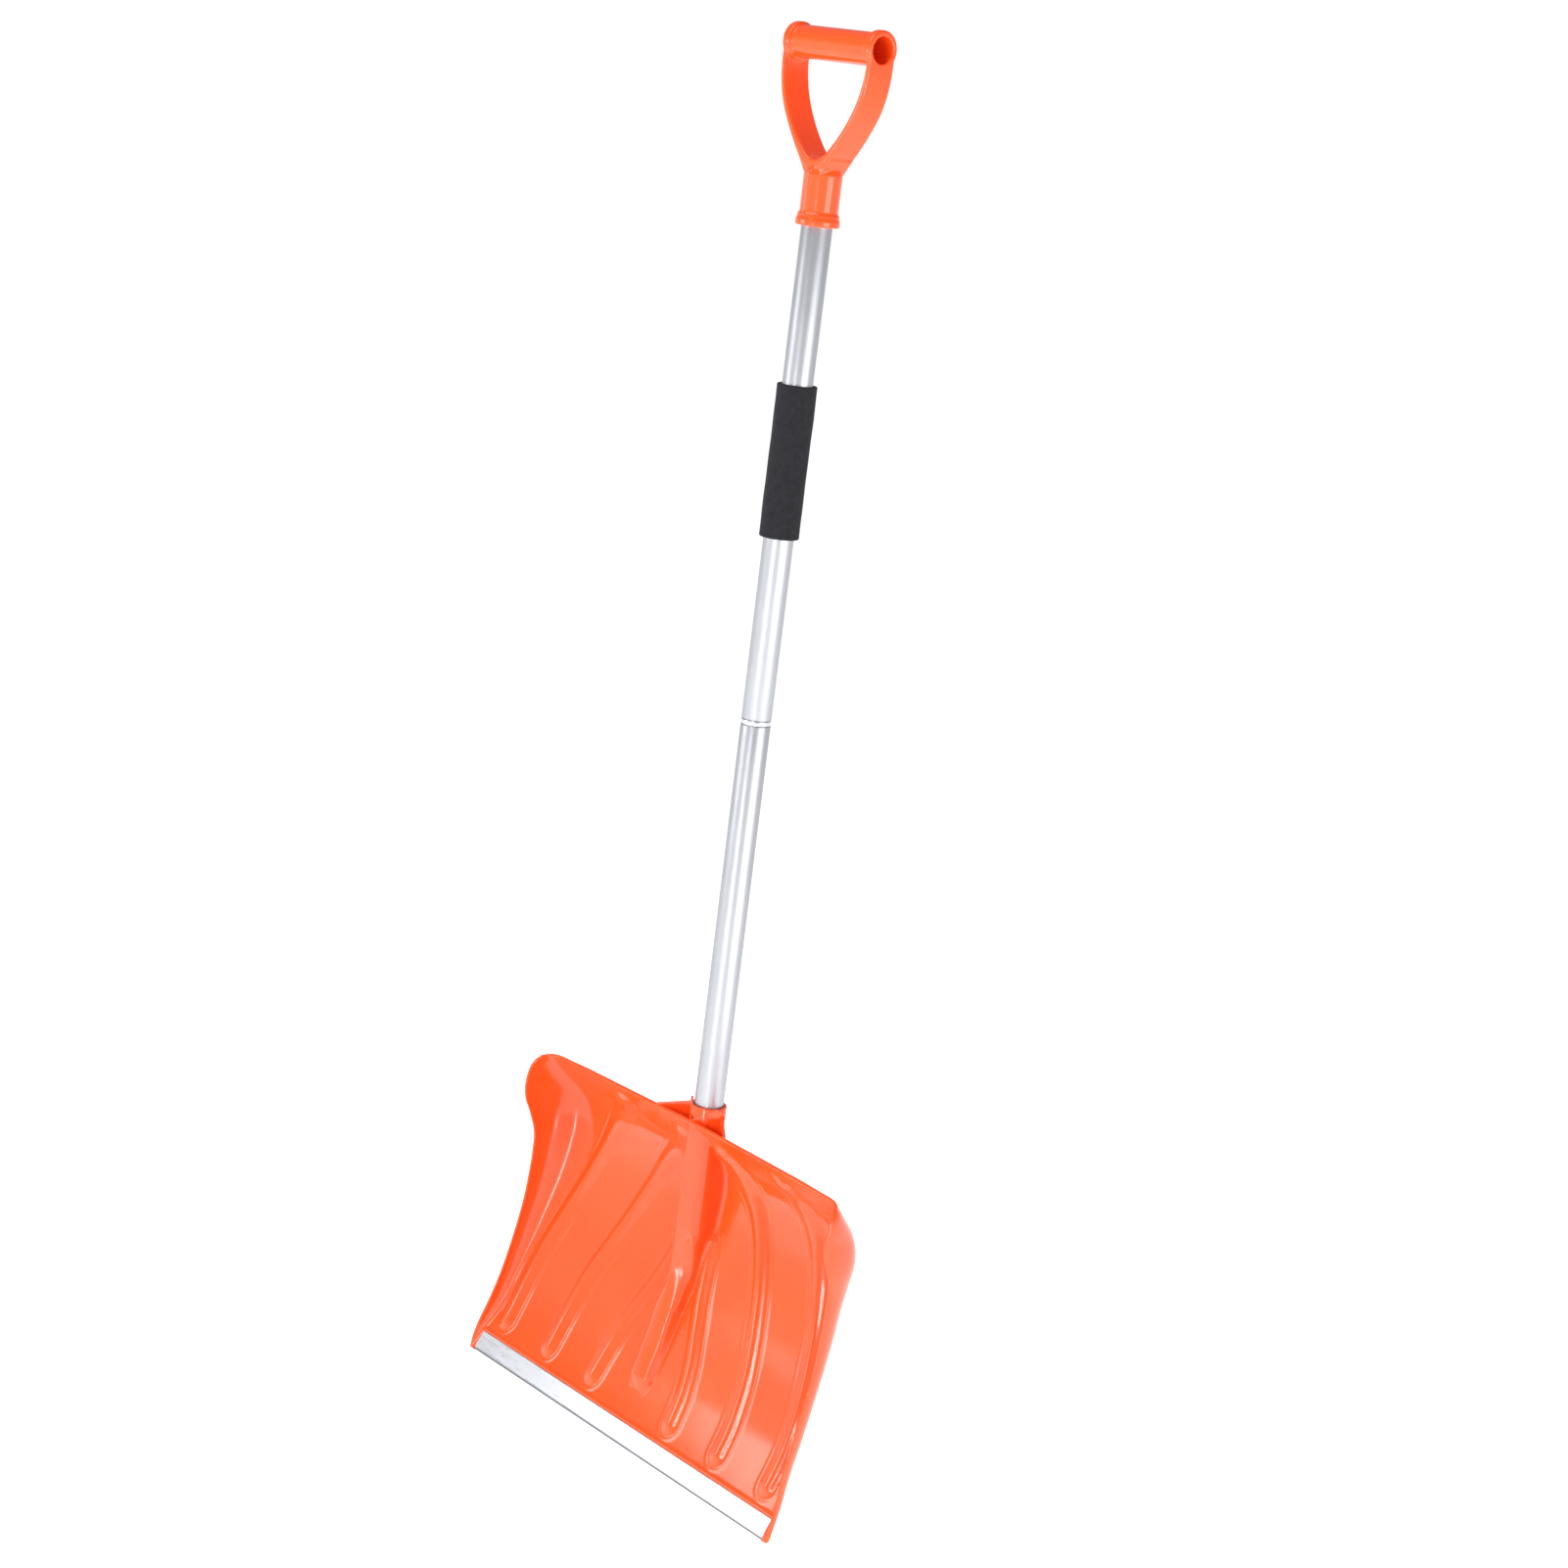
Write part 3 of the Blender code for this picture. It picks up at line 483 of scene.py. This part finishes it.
def face(x, row):
    """Points of the plain front face at distances x across and rows of the tables."""
    y0, z0 = column(PROFILE, 0, row), column(PROFILE, 1, row)
    xe, ye, ze = (column(SIDE_EDGE, c, row) for c in range(3))
    turn = column(TURN_IN, 0, row)
    start = xe - turn
    side = np.clip((np.abs(x) - start) / turn, 0.0, 1.0)
    power = 2.2 + 0.9 * smooth((row - 7.5) / 3.0)
    bend = 1.0 - np.sqrt(np.maximum(0.0, 1.0 - side ** power))
    fall = smooth((row - 9.0) / 6.0) * RIM_FALL * np.minimum(1.0, np.abs(x) / start)
    y = y0 + (ye - y0) * bend
    z = z0 - fall * (1 - bend) + (ze - z0) * bend
    return np.stack([np.sign(x) * np.minimum(np.abs(x), xe), y, z], -1)


def face_normals(x, row):
    """Unit normals of the plain face, towards the open side."""
    edge = column(SIDE_EDGE, 0, row)
    across = face(np.minimum(x + 0.4, edge), row) - face(np.maximum(x - 0.4, -edge), row)
    up = face(x, np.minimum(row + 0.03, TOP_ROW)) - face(x, np.maximum(row - 0.03, 0.0))
    normal = np.cross(across, up)
    return normal / np.linalg.norm(normal, axis=-1, keepdims=True)


def rib_heights(x, z, height):
    """Height of the side ribs: beads with a rounded top, a soft foot and round ends."""
    total = np.zeros_like(x)
    fade = smooth((HALF_WIDTH - 3.0 - np.abs(x)) / 10.0) * smooth((RIB_TOP - z) / 20.0)
    for path in RIBS:
        heights, across = zip(*path)
        low, high = heights[0], heights[-1]
        half = RIB_HALF * (1.0 + 0.45 * smooth((z - 200.0) / 90.0))
        centre = curve(np.clip(z, low, high), heights, across)
        lean = (curve(np.minimum(z + 4, high), heights, across)
                - curve(np.maximum(z - 4, low), heights, across)) / 8.0
        off = (np.abs(x) - centre) / np.sqrt(1 + lean * lean)
        beyond = np.maximum(np.maximum(low - z, 0.0), z - high)
        distance = np.hypot(off, beyond) / half
        bead = 1 - smooth((distance - 0.06) / 0.94)
        rolled = 0.09 * np.exp(-((distance - 1.07) / 0.09) ** 2)
        total = np.maximum(total, fade * height * (bead + rolled))
    return total


def ridge_front(x, z):
    """Front of the middle ridge, a roof over the tube that runs down into a round rib.

    Gives its y, its half width and how far it is a roof (1) rather than a rib (0).
    """
    heights, crests = zip(*RIDGE)
    crest = curve(np.maximum(z, heights[0]), heights, crests)
    d = np.abs(x)
    tangent_y = -HOUSING_R ** 2 / CREST_Y
    tangent_x = math.sqrt(HOUSING_R ** 2 - tangent_y ** 2)
    peak = 1.3
    plane = (-tangent_y - CREST_Y) / tangent_x
    flat = plane * np.where(d < peak, d * d / (2 * peak) + peak / 2, d)
    arc = -CREST_Y - np.sqrt(np.maximum(HOUSING_R ** 2 - d * d, 0.0))
    roof = np.where(d <= tangent_x, flat, arc)
    upper = smooth((z - 118.0) / 70.0)
    half = RIDGE_HALF + (HOUSING_R - RIDGE_HALF) * upper
    depth = 9.5 + 14.0 * upper
    bead = depth * (1 - np.sqrt(np.maximum(0.0, 1 - np.minimum(d / half, 1.0) ** 2)))
    return crest + upper * roof + (1 - upper) * bead, half, upper


def ridge_offsets(x, y, z):
    """How far the ridge stands forward of the face at y, with a rounded foot."""
    d = np.abs(x)
    _, half, upper = ridge_front(x, z)
    front, _, _ = ridge_front(np.minimum(d, half), z)
    stand = np.maximum(0.0, y - front)
    foot = 2.0 + 2.6 * upper
    reach = np.clip((half + foot - d) / foot, 0.0, 1.0)
    fillet = foot * (1 - np.sqrt(1 - reach * reach))
    total = np.where(d <= half, stand, np.minimum(stand, fillet))
    end = np.sqrt(np.maximum(0.0, 1 - (1 - np.clip((z - RIDGE_END) / 14.0, 0.0, 1.0)) ** 2))
    return np.where((z < RIDGE_END) | (z > RIDGE_TOP), 0.0, total * end)


def scoop_columns(row):
    """Distances across at each row: close on the ridge, even over the face, close in the turned side."""
    ridge = [0.0, 0.6, 1.4, 2.6, 4.2, 6.0, 8.0, 10.0, 11.1, 12.4, 13.6, 14.6, 15.4, 16.1, 16.7, 17.1, 17.3]
    ridge += [17.34, 17.7, 18.3, 19.1, 20.2, 21.6, 23.2]
    start = column(SIDE_EDGE, 0, row) - column(TURN_IN, 0, row)
    edge = column(SIDE_EDGE, 0, row)
    cut = STRIP_HALF + 0.25
    start = cut + (start - cut) * smooth((row - 1.1) / 0.9)
    flat = ridge[-1] + (start[:, None] - ridge[-1]) * np.linspace(0, 1, FACE_COLUMNS)[None, 1:]
    turned_in = np.sin(np.linspace(0.0, math.pi / 2, SIDE_COLUMNS)) ** 1.15
    first = start + 0.3
    side = first[:, None] + (edge - first)[:, None] * turned_in[None, :]
    half = np.concatenate([np.repeat([ridge], len(row), 0), flat, side], 1)
    return np.concatenate([-half[:, :0:-1], half], 1)


def scoop_rows():
    """Rows of the tables: close at the strip's seat and the rim, even between."""
    low = [0.0, 0.08, 0.3, 0.6, 0.9, 1.0, 1.007, 1.013, 1.04, 1.075, 1.1, 1.13, 1.17, 1.22, 1.3]
    mid = list(np.arange(1.36, 14.2, ROW_STEP))
    high = [14.25, 14.4, 14.55, 14.7, 14.82, 14.92, 15.0]
    return np.array(low + mid + high)


def scoop_sheet(sheet, rib, lip):
    """Front and back surfaces of the scoop, its strip's seat cut in and its ribs hollow behind."""
    row = scoop_rows()
    x = scoop_columns(row)
    r = np.repeat(row[:, None], x.shape[1], 1)
    plain = face(x, r)
    normal = face_normals(x, r)
    ribs = rib_heights(x, plain[..., 2], rib)
    ridge = ridge_offsets(x, plain[..., 1], plain[..., 2])
    climb = plain[..., 2] / EDGE_UP[1]
    between = np.abs(x) < STRIP_HALF + 0.4
    seat = (climb < STRIP_HEIGHT + 0.28) & between
    bead = lip * np.exp(-((climb - 22.9) / 1.5) ** 2) * between * (climb < 40)
    stand = np.where(seat, -SEAT_DEPTH, ribs + bead)
    front = plain + normal * stand[..., None]
    front[..., 1] -= ridge
    hollow = ribs * smooth((np.abs(x) - 24.0) / 14.0)
    thick = sheet - 0.9 * smooth((np.abs(x) - 150.0) / 50.0) * smooth(r - 1.5)
    back = plain - normal * np.where(seat, sheet - SEAT_DEPTH, thick - hollow)[..., None]
    tuck = np.where(seat, np.maximum(0.0, 1.8 - climb), 0.0)
    for surface in (front, back):
        surface[..., 1] += tuck * EDGE_UP[0]
        surface[..., 2] += tuck * EDGE_UP[1]
    return front, back


def rounded_sheet(front, back):
    """A closed shell of two surfaces, its free edge rounded."""
    rows, columns = front.shape[:2]
    verts = list(front.reshape(-1, 3)) + list(back.reshape(-1, 3))
    size = rows * columns
    faces = []
    for r in range(rows - 1):
        for c in range(columns - 1):
            a = r * columns + c
            faces.append((a, a + 1, a + columns + 1, a + columns))
            faces.append((size + a, size + a + columns, size + a + columns + 1, size + a + 1))
    border = [(0, c) for c in range(columns)] + [(r, columns - 1) for r in range(1, rows)]
    border += [(rows - 1, c) for c in range(columns - 2, -1, -1)]
    border += [(r, 0) for r in range(rows - 2, 0, -1)]
    lanes = []
    for r, c in border:
        inner = front[min(max(r, 1), rows - 2), min(max(c, 1), columns - 2)]
        f, b = front[r, c], back[r, c]
        middle, out = (f + b) / 2, (f + b) / 2 - inner
        axis = f - b
        thick = np.linalg.norm(axis)
        out = out - axis * np.dot(out, axis) / max(thick * thick, 1e-9)
        out = out / max(np.linalg.norm(out), 1e-9)
        lane = [r * columns + c]
        for k in range(1, EDGE_STEPS):
            angle = math.pi * k / EDGE_STEPS
            lane.append(len(verts))
            verts.append(middle + axis / 2 * math.cos(angle) + out * thick * 0.22 * math.sin(angle))
        lane.append(size + r * columns + c)
        lanes.append(lane)
    for k, lane in enumerate(lanes):
        following = lanes[(k + 1) % len(lanes)]
        for i in range(EDGE_STEPS):
            faces.append((lane[i], lane[i + 1], following[i + 1], following[i]))
    return verts, faces


def boss_shell():
    """Round boss about the tube, open at the top, with a rounded lip."""
    r = HOUSING_R - 0.15
    top = HOUSING_TOP
    return turned([
        (0.0, 180.2), (9.5, 180.2), (r, 196.0), (r, top - 1.0), (r - 0.25, top - 0.35), (r - 0.8, top),
        (BORE_R + 0.6, top), (BORE_R + 0.15, top - 0.3), (BORE_R, top - 0.8), (BORE_R, 204.6), (0.0, 204.6),
    ], 96)


def prow_shells():
    """Two flat plates from the rim's point past the sides of the boss, over a low floor."""
    radius, crest = HOUSING_R - 0.5, CREST_Y + 0.35
    angle = math.asin(radius / -crest)
    reach = math.sqrt(crest * crest - radius * radius)
    tx, ty = reach * math.sin(angle), crest + reach * math.cos(angle)
    plan = ((0.0, crest + 0.6), (tx, ty + 0.5), (-tx, ty + 0.5))
    shells = [loft([[(x, y, z) for x, y in plan] for z in (203.0, RIM_Z - PROW_FLOOR)])]
    point = Vector((0.0, crest, 0.0))
    for side in (1.0, -1.0):
        along = Vector((side * math.sin(angle), math.cos(angle), 0.0))
        inward = Vector((-along.y * side, along.x * side, 0.0))
        outlines = []
        for t, foot in ((0.0, 303.0), (1.6, 303.0), (PLATE_SLOPE_LENGTH, 296.0), (PLATE_LENGTH, 290.0)):
            top = RIM_Z + (HOUSING_TOP - 0.4 - RIM_Z) * min(t, PLATE_SLOPE_LENGTH) / PLATE_SLOPE_LENGTH
            outer = point + along * t - inward * 0.15
            inner = point + along * max(t, 1.6) + inward * (PLATE if t else 1.0)
            corners = ((outer, foot), (inner, foot), (inner, top), (outer, top))
            outlines.append([(p.x, p.y, z) for p, z in corners])
        shells.append(loft(outlines, 0.4))
    return shells


def web_shell(side):
    """Upright web from the rim to the side of the boss, its top edge rounded."""
    foot, head = Vector((*WEB_FOOT, 0.0)), Vector((*WEB_HEAD, 0.0))
    along = (head - foot).normalized()
    across = Vector((-along.y, along.x, 0.0)) * WEB / 2
    outlines = []
    for t, low, high in WEB_EDGES:
        base = foot.lerp(head, t)
        near, far = base - across, base + across
        corners = ((near, low), (far, low), (far, high), (near, high))
        outlines.append([(side * p.x, p.y, z) for p, z in corners])
    return loft(outlines, 0.45)


class SHOVEL_OT_scoop(bpy.types.Operator):
    """Build the ribbed scoop with its tube housing and webs"""

    bl_idname = "shovel.scoop"
    bl_label = "Scoop"

    def execute(self, context):
        s = sizes()
        finish = finish_named("scoop_orange", orange_plastic, tuple(colours().orange), (1.0, 1.0, 0.35))
        front, back = scoop_sheet(s.sheet / MM, s.rib_height / MM, s.lip_height / MM)
        parts = [rounded_sheet(front, back), boss_shell(), *prow_shells()]
        parts += [web_shell(1.0), web_shell(-1.0)]
        scoop = mesh_piece("scoop", parts, finish, "scoop_section")
        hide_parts("blade")
        return {"FINISHED"}


# ---------------------------------------------------------------- wear strip

def strip_outline(sheet, gauge):
    """Section of the folded strip as distances in front of the face and up it, its top edges eased."""
    outer = sheet / 2
    inner = outer - gauge
    soft = gauge * 0.35
    points = [(-soft * 0.3, STRIP_HEIGHT - soft * 0.3), (0.0, STRIP_HEIGHT - soft)]
    points += [(0.0, STRIP_HEIGHT - 1.0), (0.0, outer + 0.6)]
    turns = 14
    for i in range(turns + 1):
        a = -math.pi * i / turns
        points.append((-outer + outer * math.cos(a), outer + outer * math.sin(a)))
    points += [(-sheet, outer + 0.6), (-sheet, STRIP_HEIGHT - 1.0)]
    points += [(-sheet, STRIP_HEIGHT - soft), (-sheet + soft * 0.3, STRIP_HEIGHT - soft * 0.3),
               (-sheet + soft, STRIP_HEIGHT), (-sheet + gauge, STRIP_HEIGHT)]
    for i in range(turns + 1):
        a = -math.pi + math.pi * i / turns
        points.append((-outer + inner * math.cos(a), outer + inner * math.sin(a)))
    points += [(-gauge, STRIP_HEIGHT), (-soft, STRIP_HEIGHT)]
    return points


class SHOVEL_OT_wear_strip(bpy.types.Operator):
    """Build the folded aluminium strip along the scoop's lower edge"""

    bl_idname = "shovel.wear_strip"
    bl_label = "Wear strip"

    def execute(self, context):
        colour = tuple(colours().alloy)
        # Painted highlight: the strip takes a lighter copy of the alloy colour for the bright reflection
        # across it
        finish = finish_named("strip_alloy", satin_alloy, shade(colour, 1.6), 0.3, (0.06, 1.0, 1.0), 500.0)
        # Painted shade: a dark line along the strip's lower fold
        painted_fold_shade(finish, EDGE_Z, 2.8 * MM)
        outline = strip_outline(sizes().sheet / MM, STRIP_GAUGE)
        up = Vector((0.0, *EDGE_UP))
        front = Vector((0.0, -up.z, up.y))
        low = Vector((0.0, *PROFILE[0]))
        spans = 60
        stations = np.linspace(-STRIP_HALF, STRIP_HALF, spans + 1)
        verts = []
        for x in stations:
            ease = math.cos(math.pi * x / (2 * STRIP_HALF))
            wave = 0.05 * math.sin(x * 0.043 + 0.7) * ease + 0.03 * math.sin(x * 0.121) * ease
            for f, u in outline:
                verts.append(tuple(low + front * (f - abs(wave)) + up * u + Vector((float(x), 0, 0))))
        count = len(outline)
        faces = [tuple(range(count))[::-1], tuple(range(spans * count, (spans + 1) * count))]
        for k in range(spans):
            for i in range(count):
                j = (i + 1) % count
                faces.append((k * count + i, k * count + j, (k + 1) * count + j, (k + 1) * count + i))
        strip = mesh_piece("strip", [(verts, faces)], finish, "scoop_section", 50.0)
        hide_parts("wear_strip")
        return {"FINISHED"}


# ---------------------------------------------------------------- shaft

def node_span(node):
    """Lowest and highest height of a CAD node, in millimetres above the scoop's edge."""
    low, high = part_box(node)
    return (low.z - EDGE_Z) / MM, (high.z - EDGE_Z) / MM


def tube_piece(name, node, body, slot, outer, inner, soft, finish):
    """A smooth pipe in a CAD pipe's place, its ends eased by soft."""
    low, high = node_span(node)
    outline = [
        (inner, low + 0.2), (inner + 0.2, low), (outer - soft, low),
        (outer - soft * 0.3, low + soft * 0.3), (outer, low + soft), (outer, (low + high) / 2),
        (outer, high - soft), (outer - soft * 0.3, high - soft * 0.3), (outer - soft, high),
        (inner + 0.2, high), (inner, high - 0.2), (inner, (low + high) / 2),
    ]
    pipe = mesh_piece(name, [turned(outline, 96)], finish, body, 50.0)
    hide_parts(node)


class SHOVEL_OT_shaft(bpy.types.Operator):
    """Build the two tubes of the shaft and the ring between them"""

    bl_idname = "shovel.shaft"
    bl_label = "Shaft"

    def execute(self, context):
        radius = (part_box("upper_tube")[1].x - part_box("upper_tube")[0].x) / 2 / MM
        colour = tuple(colours().alloy)
        tube = finish_named("tube_alloy", satin_alloy, colour, 0.42, (1.0, 1.0, 0.03), 420.0)
        # Painted highlight: the joint ring takes a lighter copy of the alloy colour for the bright band on
        # its rounded edge
        painted_highlight_alloy = shade(colour, 1.6)
        ring = finish_named("ring_alloy", satin_alloy, painted_highlight_alloy, 0.2, (0.2, 0.2, 1.0), 900.0)
        bore = radius - TUBE_WALL
        for row in (
            ("shaft_lower", "lower_tube", "scoop_section", "tube_aluminium", radius, bore, 0.5, tube),
            ("shaft_upper", "upper_tube", "upper_section", "tube_aluminium", radius, bore, 0.4, tube),
            ("shaft_ring", "joint_ring", "coupling_ring", "ring_aluminium", radius, RING_BORE, 0.6, ring),
        ):
            tube_piece(*row)
        return {"FINISHED"}


class SHOVEL_OT_sleeve(bpy.types.Operator):
    """Build the foam sleeve on the upper tube"""

    bl_idname = "shovel.sleeve"
    bl_label = "Foam sleeve"

    def execute(self, context):
        low, high = node_span("foam_sleeve")
        radius = (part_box("foam_sleeve")[1].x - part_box("foam_sleeve")[0].x) / 2 / MM
        wave = sizes().foam_wave / MM
        inner, count, levels = BORE_R, 96, 90
        soft = 0.7
        step = (high - low - 2 * soft) / levels
        outline = [(inner, low + 0.3), (inner + 0.3, low), (radius - soft, low)]
        outline += [(radius - soft * 0.3, low + soft * 0.3)]
        outline += [(radius, low + soft + step * i) for i in range(levels + 1)]
        outline += [(radius - soft * 0.3, high - soft * 0.3), (radius - soft, high)]
        outline += [(inner + 0.3, high), (inner, high - 0.3)]
        verts, faces = turned(outline, count)
        shaped = []
        for x, y, z in verts:
            r, a = math.hypot(x, y), math.atan2(y, x)
            t = (z - low) / (high - low)
            swell = math.sin(9.0 * t + 1.3 * math.sin(a)) + 0.6 * math.sin(23.0 * t + 2.0 * a + 0.8)
            swell += 0.4 * math.sin(3.0 * a + 14.0 * t)
            give = wave * (0.5 * swell - 0.9) if r > inner + 1.0 else 0.0
            shaped.append(((r + give) * math.cos(a), (r + give) * math.sin(a), z))
        finish = finish_named("sleeve_foam", closed_foam, tuple(colours().foam))
        sleeve = mesh_piece("sleeve", [(shaped, faces)], finish, "upper_section", 60.0)
        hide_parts("foam_sleeve")
        return {"FINISHED"}


# ---------------------------------------------------------------- hand grip

def grip_faces(passes):
    """The grip's own solid with its corners rounded like a moulding, as a new mesh."""
    body = bpy.data.objects.new("grip_form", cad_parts["d_grip"].data.copy())
    bpy.context.scene.collection.objects.link(body)
    mesher = body.modifiers.new("even", "REMESH")
    mesher.mode = "VOXEL"
    mesher.voxel_size = 0.85 * MM
    ease = body.modifiers.new("ease", "SMOOTH")
    ease.factor = 0.5
    ease.iterations = passes
    shaped = bpy.data.meshes.new_from_object(body.evaluated_get(bpy.context.evaluated_depsgraph_get()))
    bpy.data.objects.remove(body, do_unlink=True)
    return shaped


class SHOVEL_OT_hand_grip(bpy.types.Operator):
    """Build the D-shaped hand grip with its rounded corners"""

    bl_idname = "shovel.hand_grip"
    bl_label = "Hand grip"

    def execute(self, context):
        mesh = grip_faces(sizes().grip_fillet)
        if len(mesh.polygons) < 1000:
            raise RuntimeError("the hand grip came out empty")
        mesh.materials.clear()
        mesh.materials.append(
            finish_named("grip_orange", orange_plastic, tuple(colours().orange), (0.4, 1.0, 1.0)))
        mesh.shade_smooth()
        grip = bpy.data.objects.new("hand_grip", mesh)
        context.scene.collection.objects.link(grip)
        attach(grip, "upper_section")
        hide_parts("d_grip")
        return {"FINISHED"}


class SHOVEL_OT_hidden_parts(bpy.types.Operator):
    """Give the coupling and the screws their finishes"""

    bl_idname = "shovel.hidden_parts"
    bl_label = "Coupling and screws"

    def execute(self, context):
        black = finish_named("coupling_black", dark_plastic)
        steel = finish_named("screw_zinc", zinc_steel)
        for node, finish in (
            ("threaded_plug", black), ("threaded_insert", black),
            ("grip_screw", steel), ("socket_screw", steel),
        ):
            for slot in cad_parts[node].material_slots:
                slot.material = finish
        return {"FINISHED"}


# ---------------------------------------------------------------- stage

CAMERA_PLACE = (1.97171639, -1.79830478, -0.02202277)
CAMERA_RIGHT = (0.65622315, 0.74469733, 0.12164315)
CAMERA_DOWN = (0.25396364, -0.06617126, -0.96494758)
CAMERA_AHEAD = (-0.71054461, 0.66411388, -0.23254916)
CAMERA_LENS = 68.519
FLOOR_DROP = 0.25
FLOOR_ACROSS = 28.0


def soft_light(name, place, target, size, power, shine=True):
    """A rectangular soft box aimed at a target, with or without its own reflection."""
    light = bpy.data.lights.new(name, "AREA")
    light.shape = "RECTANGLE"
    light.size, light.size_y = size
    light.energy = power
    lamp = bpy.data.objects.new(name, light)
    lamp.location = place
    lamp.visible_glossy = shine
    aim = Vector(target) - Vector(place)
    lamp.rotation_mode = "QUATERNION"
    lamp.rotation_quaternion = aim.to_track_quat("-Z", "Y")
    bpy.context.scene.collection.objects.link(lamp)
    return lamp


class SHOVEL_OT_stage(bpy.types.Operator):
    """Set the floor, the studio lights and the camera"""

    bl_idname = "shovel.stage"
    bl_label = "Stage"

    def floor(self, scene):
        """A wide pale light table well below the shovel."""
        level = CAD_LOW[2] - FLOOR_DROP
        half = FLOOR_ACROSS / 2
        verts, faces = turned([(0.0, -0.02), (half, -0.02), (half, 0.0), (0.0, 0.0)], 96)
        mesh = bpy.data.meshes.new("floor")
        mesh.from_pydata([(x, y, z + level) for x, y, z in verts], [], faces)
        floor = bpy.data.objects.new("floor", mesh)
        scene.collection.objects.link(floor)
        paper = tuple(colours().floor)
        f = Finish("floor_paper", paper, 0.85)
        f.shader.inputs["Emission Color"].default_value = (1.0, 1.0, 1.0, 1.0)
        f.shader.inputs["Emission Strength"].default_value = 0.8
        f.tint(f.band(f.grain(3.0), 0.3, 0.7, 0.0, 1.0), shade(paper, 0.99), paper)
        mesh.materials.append(f.mat)
        floor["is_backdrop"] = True

    def sky(self, scene):
        """White round the horizon and grey overhead."""
        world = bpy.data.worlds.new("studio")
        scene.world = world
        world.use_nodes = True
        tree = world.node_tree
        place = tree.nodes.new("ShaderNodeTexCoord")
        parts = tree.nodes.new("ShaderNodeSeparateXYZ")
        ramp = tree.nodes.new("ShaderNodeValToRGB")
        ramp.color_ramp.elements[0].position = 0.06
        ramp.color_ramp.elements[0].color = (1.0, 1.0, 1.0, 1.0)
        ramp.color_ramp.elements[1].position = 0.3
        ramp.color_ramp.elements[1].color = (0.30, 0.30, 0.31, 1.0)
        tree.links.new(place.outputs["Generated"], parts.inputs["Vector"])
        tree.links.new(parts.outputs["Z"], ramp.inputs["Fac"])
        tree.links.new(ramp.outputs["Color"], tree.nodes["Background"].inputs["Color"])

    def lights(self):
        """Soft boxes that give the scoop its streaks and the shaft its edges."""
        centre = Vector(CAD_LOW).lerp(Vector(CAD_HIGH), 0.5)
        scoop = (0.0, 0.0, CAD_LOW[2] + 0.17)
        soft_light("strip_box", (-1.45, -2.4, CAD_LOW[2] + 1.0), scoop, (1.0, 0.8), 14.0)
        soft_light("rib_tube", (0.66, -1.5, CAD_LOW[2] + 0.45), scoop, (0.04, 1.3), 7.0)
        soft_light("side_box", (2.5, 0.3, -0.75), scoop, (1.6, 1.6), 34.0)
        soft_light("front_box", (0.5, -2.8, -0.1), centre, (0.9, 1.4), 30.0, shine=False)
        soft_light("top_box", (-0.3, -0.9, 1.6), centre, (1.6, 1.6), 24.0)

    def camera(self, scene):
        """A camera in the place and direction of the stage's constants."""
        data = bpy.data.cameras.new("view")
        data.sensor_width = 36.0
        data.lens = CAMERA_LENS
        data.clip_start, data.clip_end = 0.05, 60.0
        turn = Matrix((CAMERA_RIGHT, [-c for c in CAMERA_DOWN], [-c for c in CAMERA_AHEAD])).transposed()
        camera = bpy.data.objects.new("view", data)
        camera.matrix_world = Matrix.Translation(CAMERA_PLACE) @ turn.to_4x4()
        scene.collection.objects.link(camera)
        scene.camera = camera

    def execute(self, context):
        scene = context.scene
        scene.view_settings.view_transform = "Standard"
        self.floor(scene)
        self.sky(scene)
        self.lights()
        self.camera(scene)
        return {"FINISHED"}


# ---------------------------------------------------------------- panel and run

STEPS = ("stage", "scoop", "wear_strip", "shaft", "sleeve", "hand_grip", "hidden_parts")


class SHOVEL_PT_build(bpy.types.Panel):
    """Sizes, colours and build steps of the shovel"""

    bl_idname = "SHOVEL_PT_build"
    bl_label = "Snow Shovel"
    bl_space_type = "VIEW_3D"
    bl_region_type = "UI"
    bl_category = "Shovel"

    def draw(self, context):
        for group in (context.scene.shovel_sizes, context.scene.shovel_colours):
            box = self.layout.box()
            for name in group.bl_rna.properties.keys():
                if name not in ("rna_type", "name"):
                    box.prop(group, name)
        for step in STEPS:
            self.layout.operator("shovel." + step)


CLASSES = (
    ShovelSizes, ShovelColours, SHOVEL_OT_stage, SHOVEL_OT_scoop, SHOVEL_OT_wear_strip, SHOVEL_OT_shaft,
    SHOVEL_OT_sleeve, SHOVEL_OT_hand_grip, SHOVEL_OT_hidden_parts, SHOVEL_PT_build,
)


def register():
    for cls in CLASSES:
        bpy.utils.register_class(cls)
    bpy.types.Scene.shovel_sizes = bpy.props.PointerProperty(type=ShovelSizes)
    bpy.types.Scene.shovel_colours = bpy.props.PointerProperty(type=ShovelColours)


def unregister():
    del bpy.types.Scene.shovel_colours
    del bpy.types.Scene.shovel_sizes
    for cls in reversed(CLASSES):
        bpy.utils.unregister_class(cls)


def main():
    register()
    for step in STEPS:
        getattr(bpy.ops.shovel, step)()


if __name__ == "__main__":
    main()
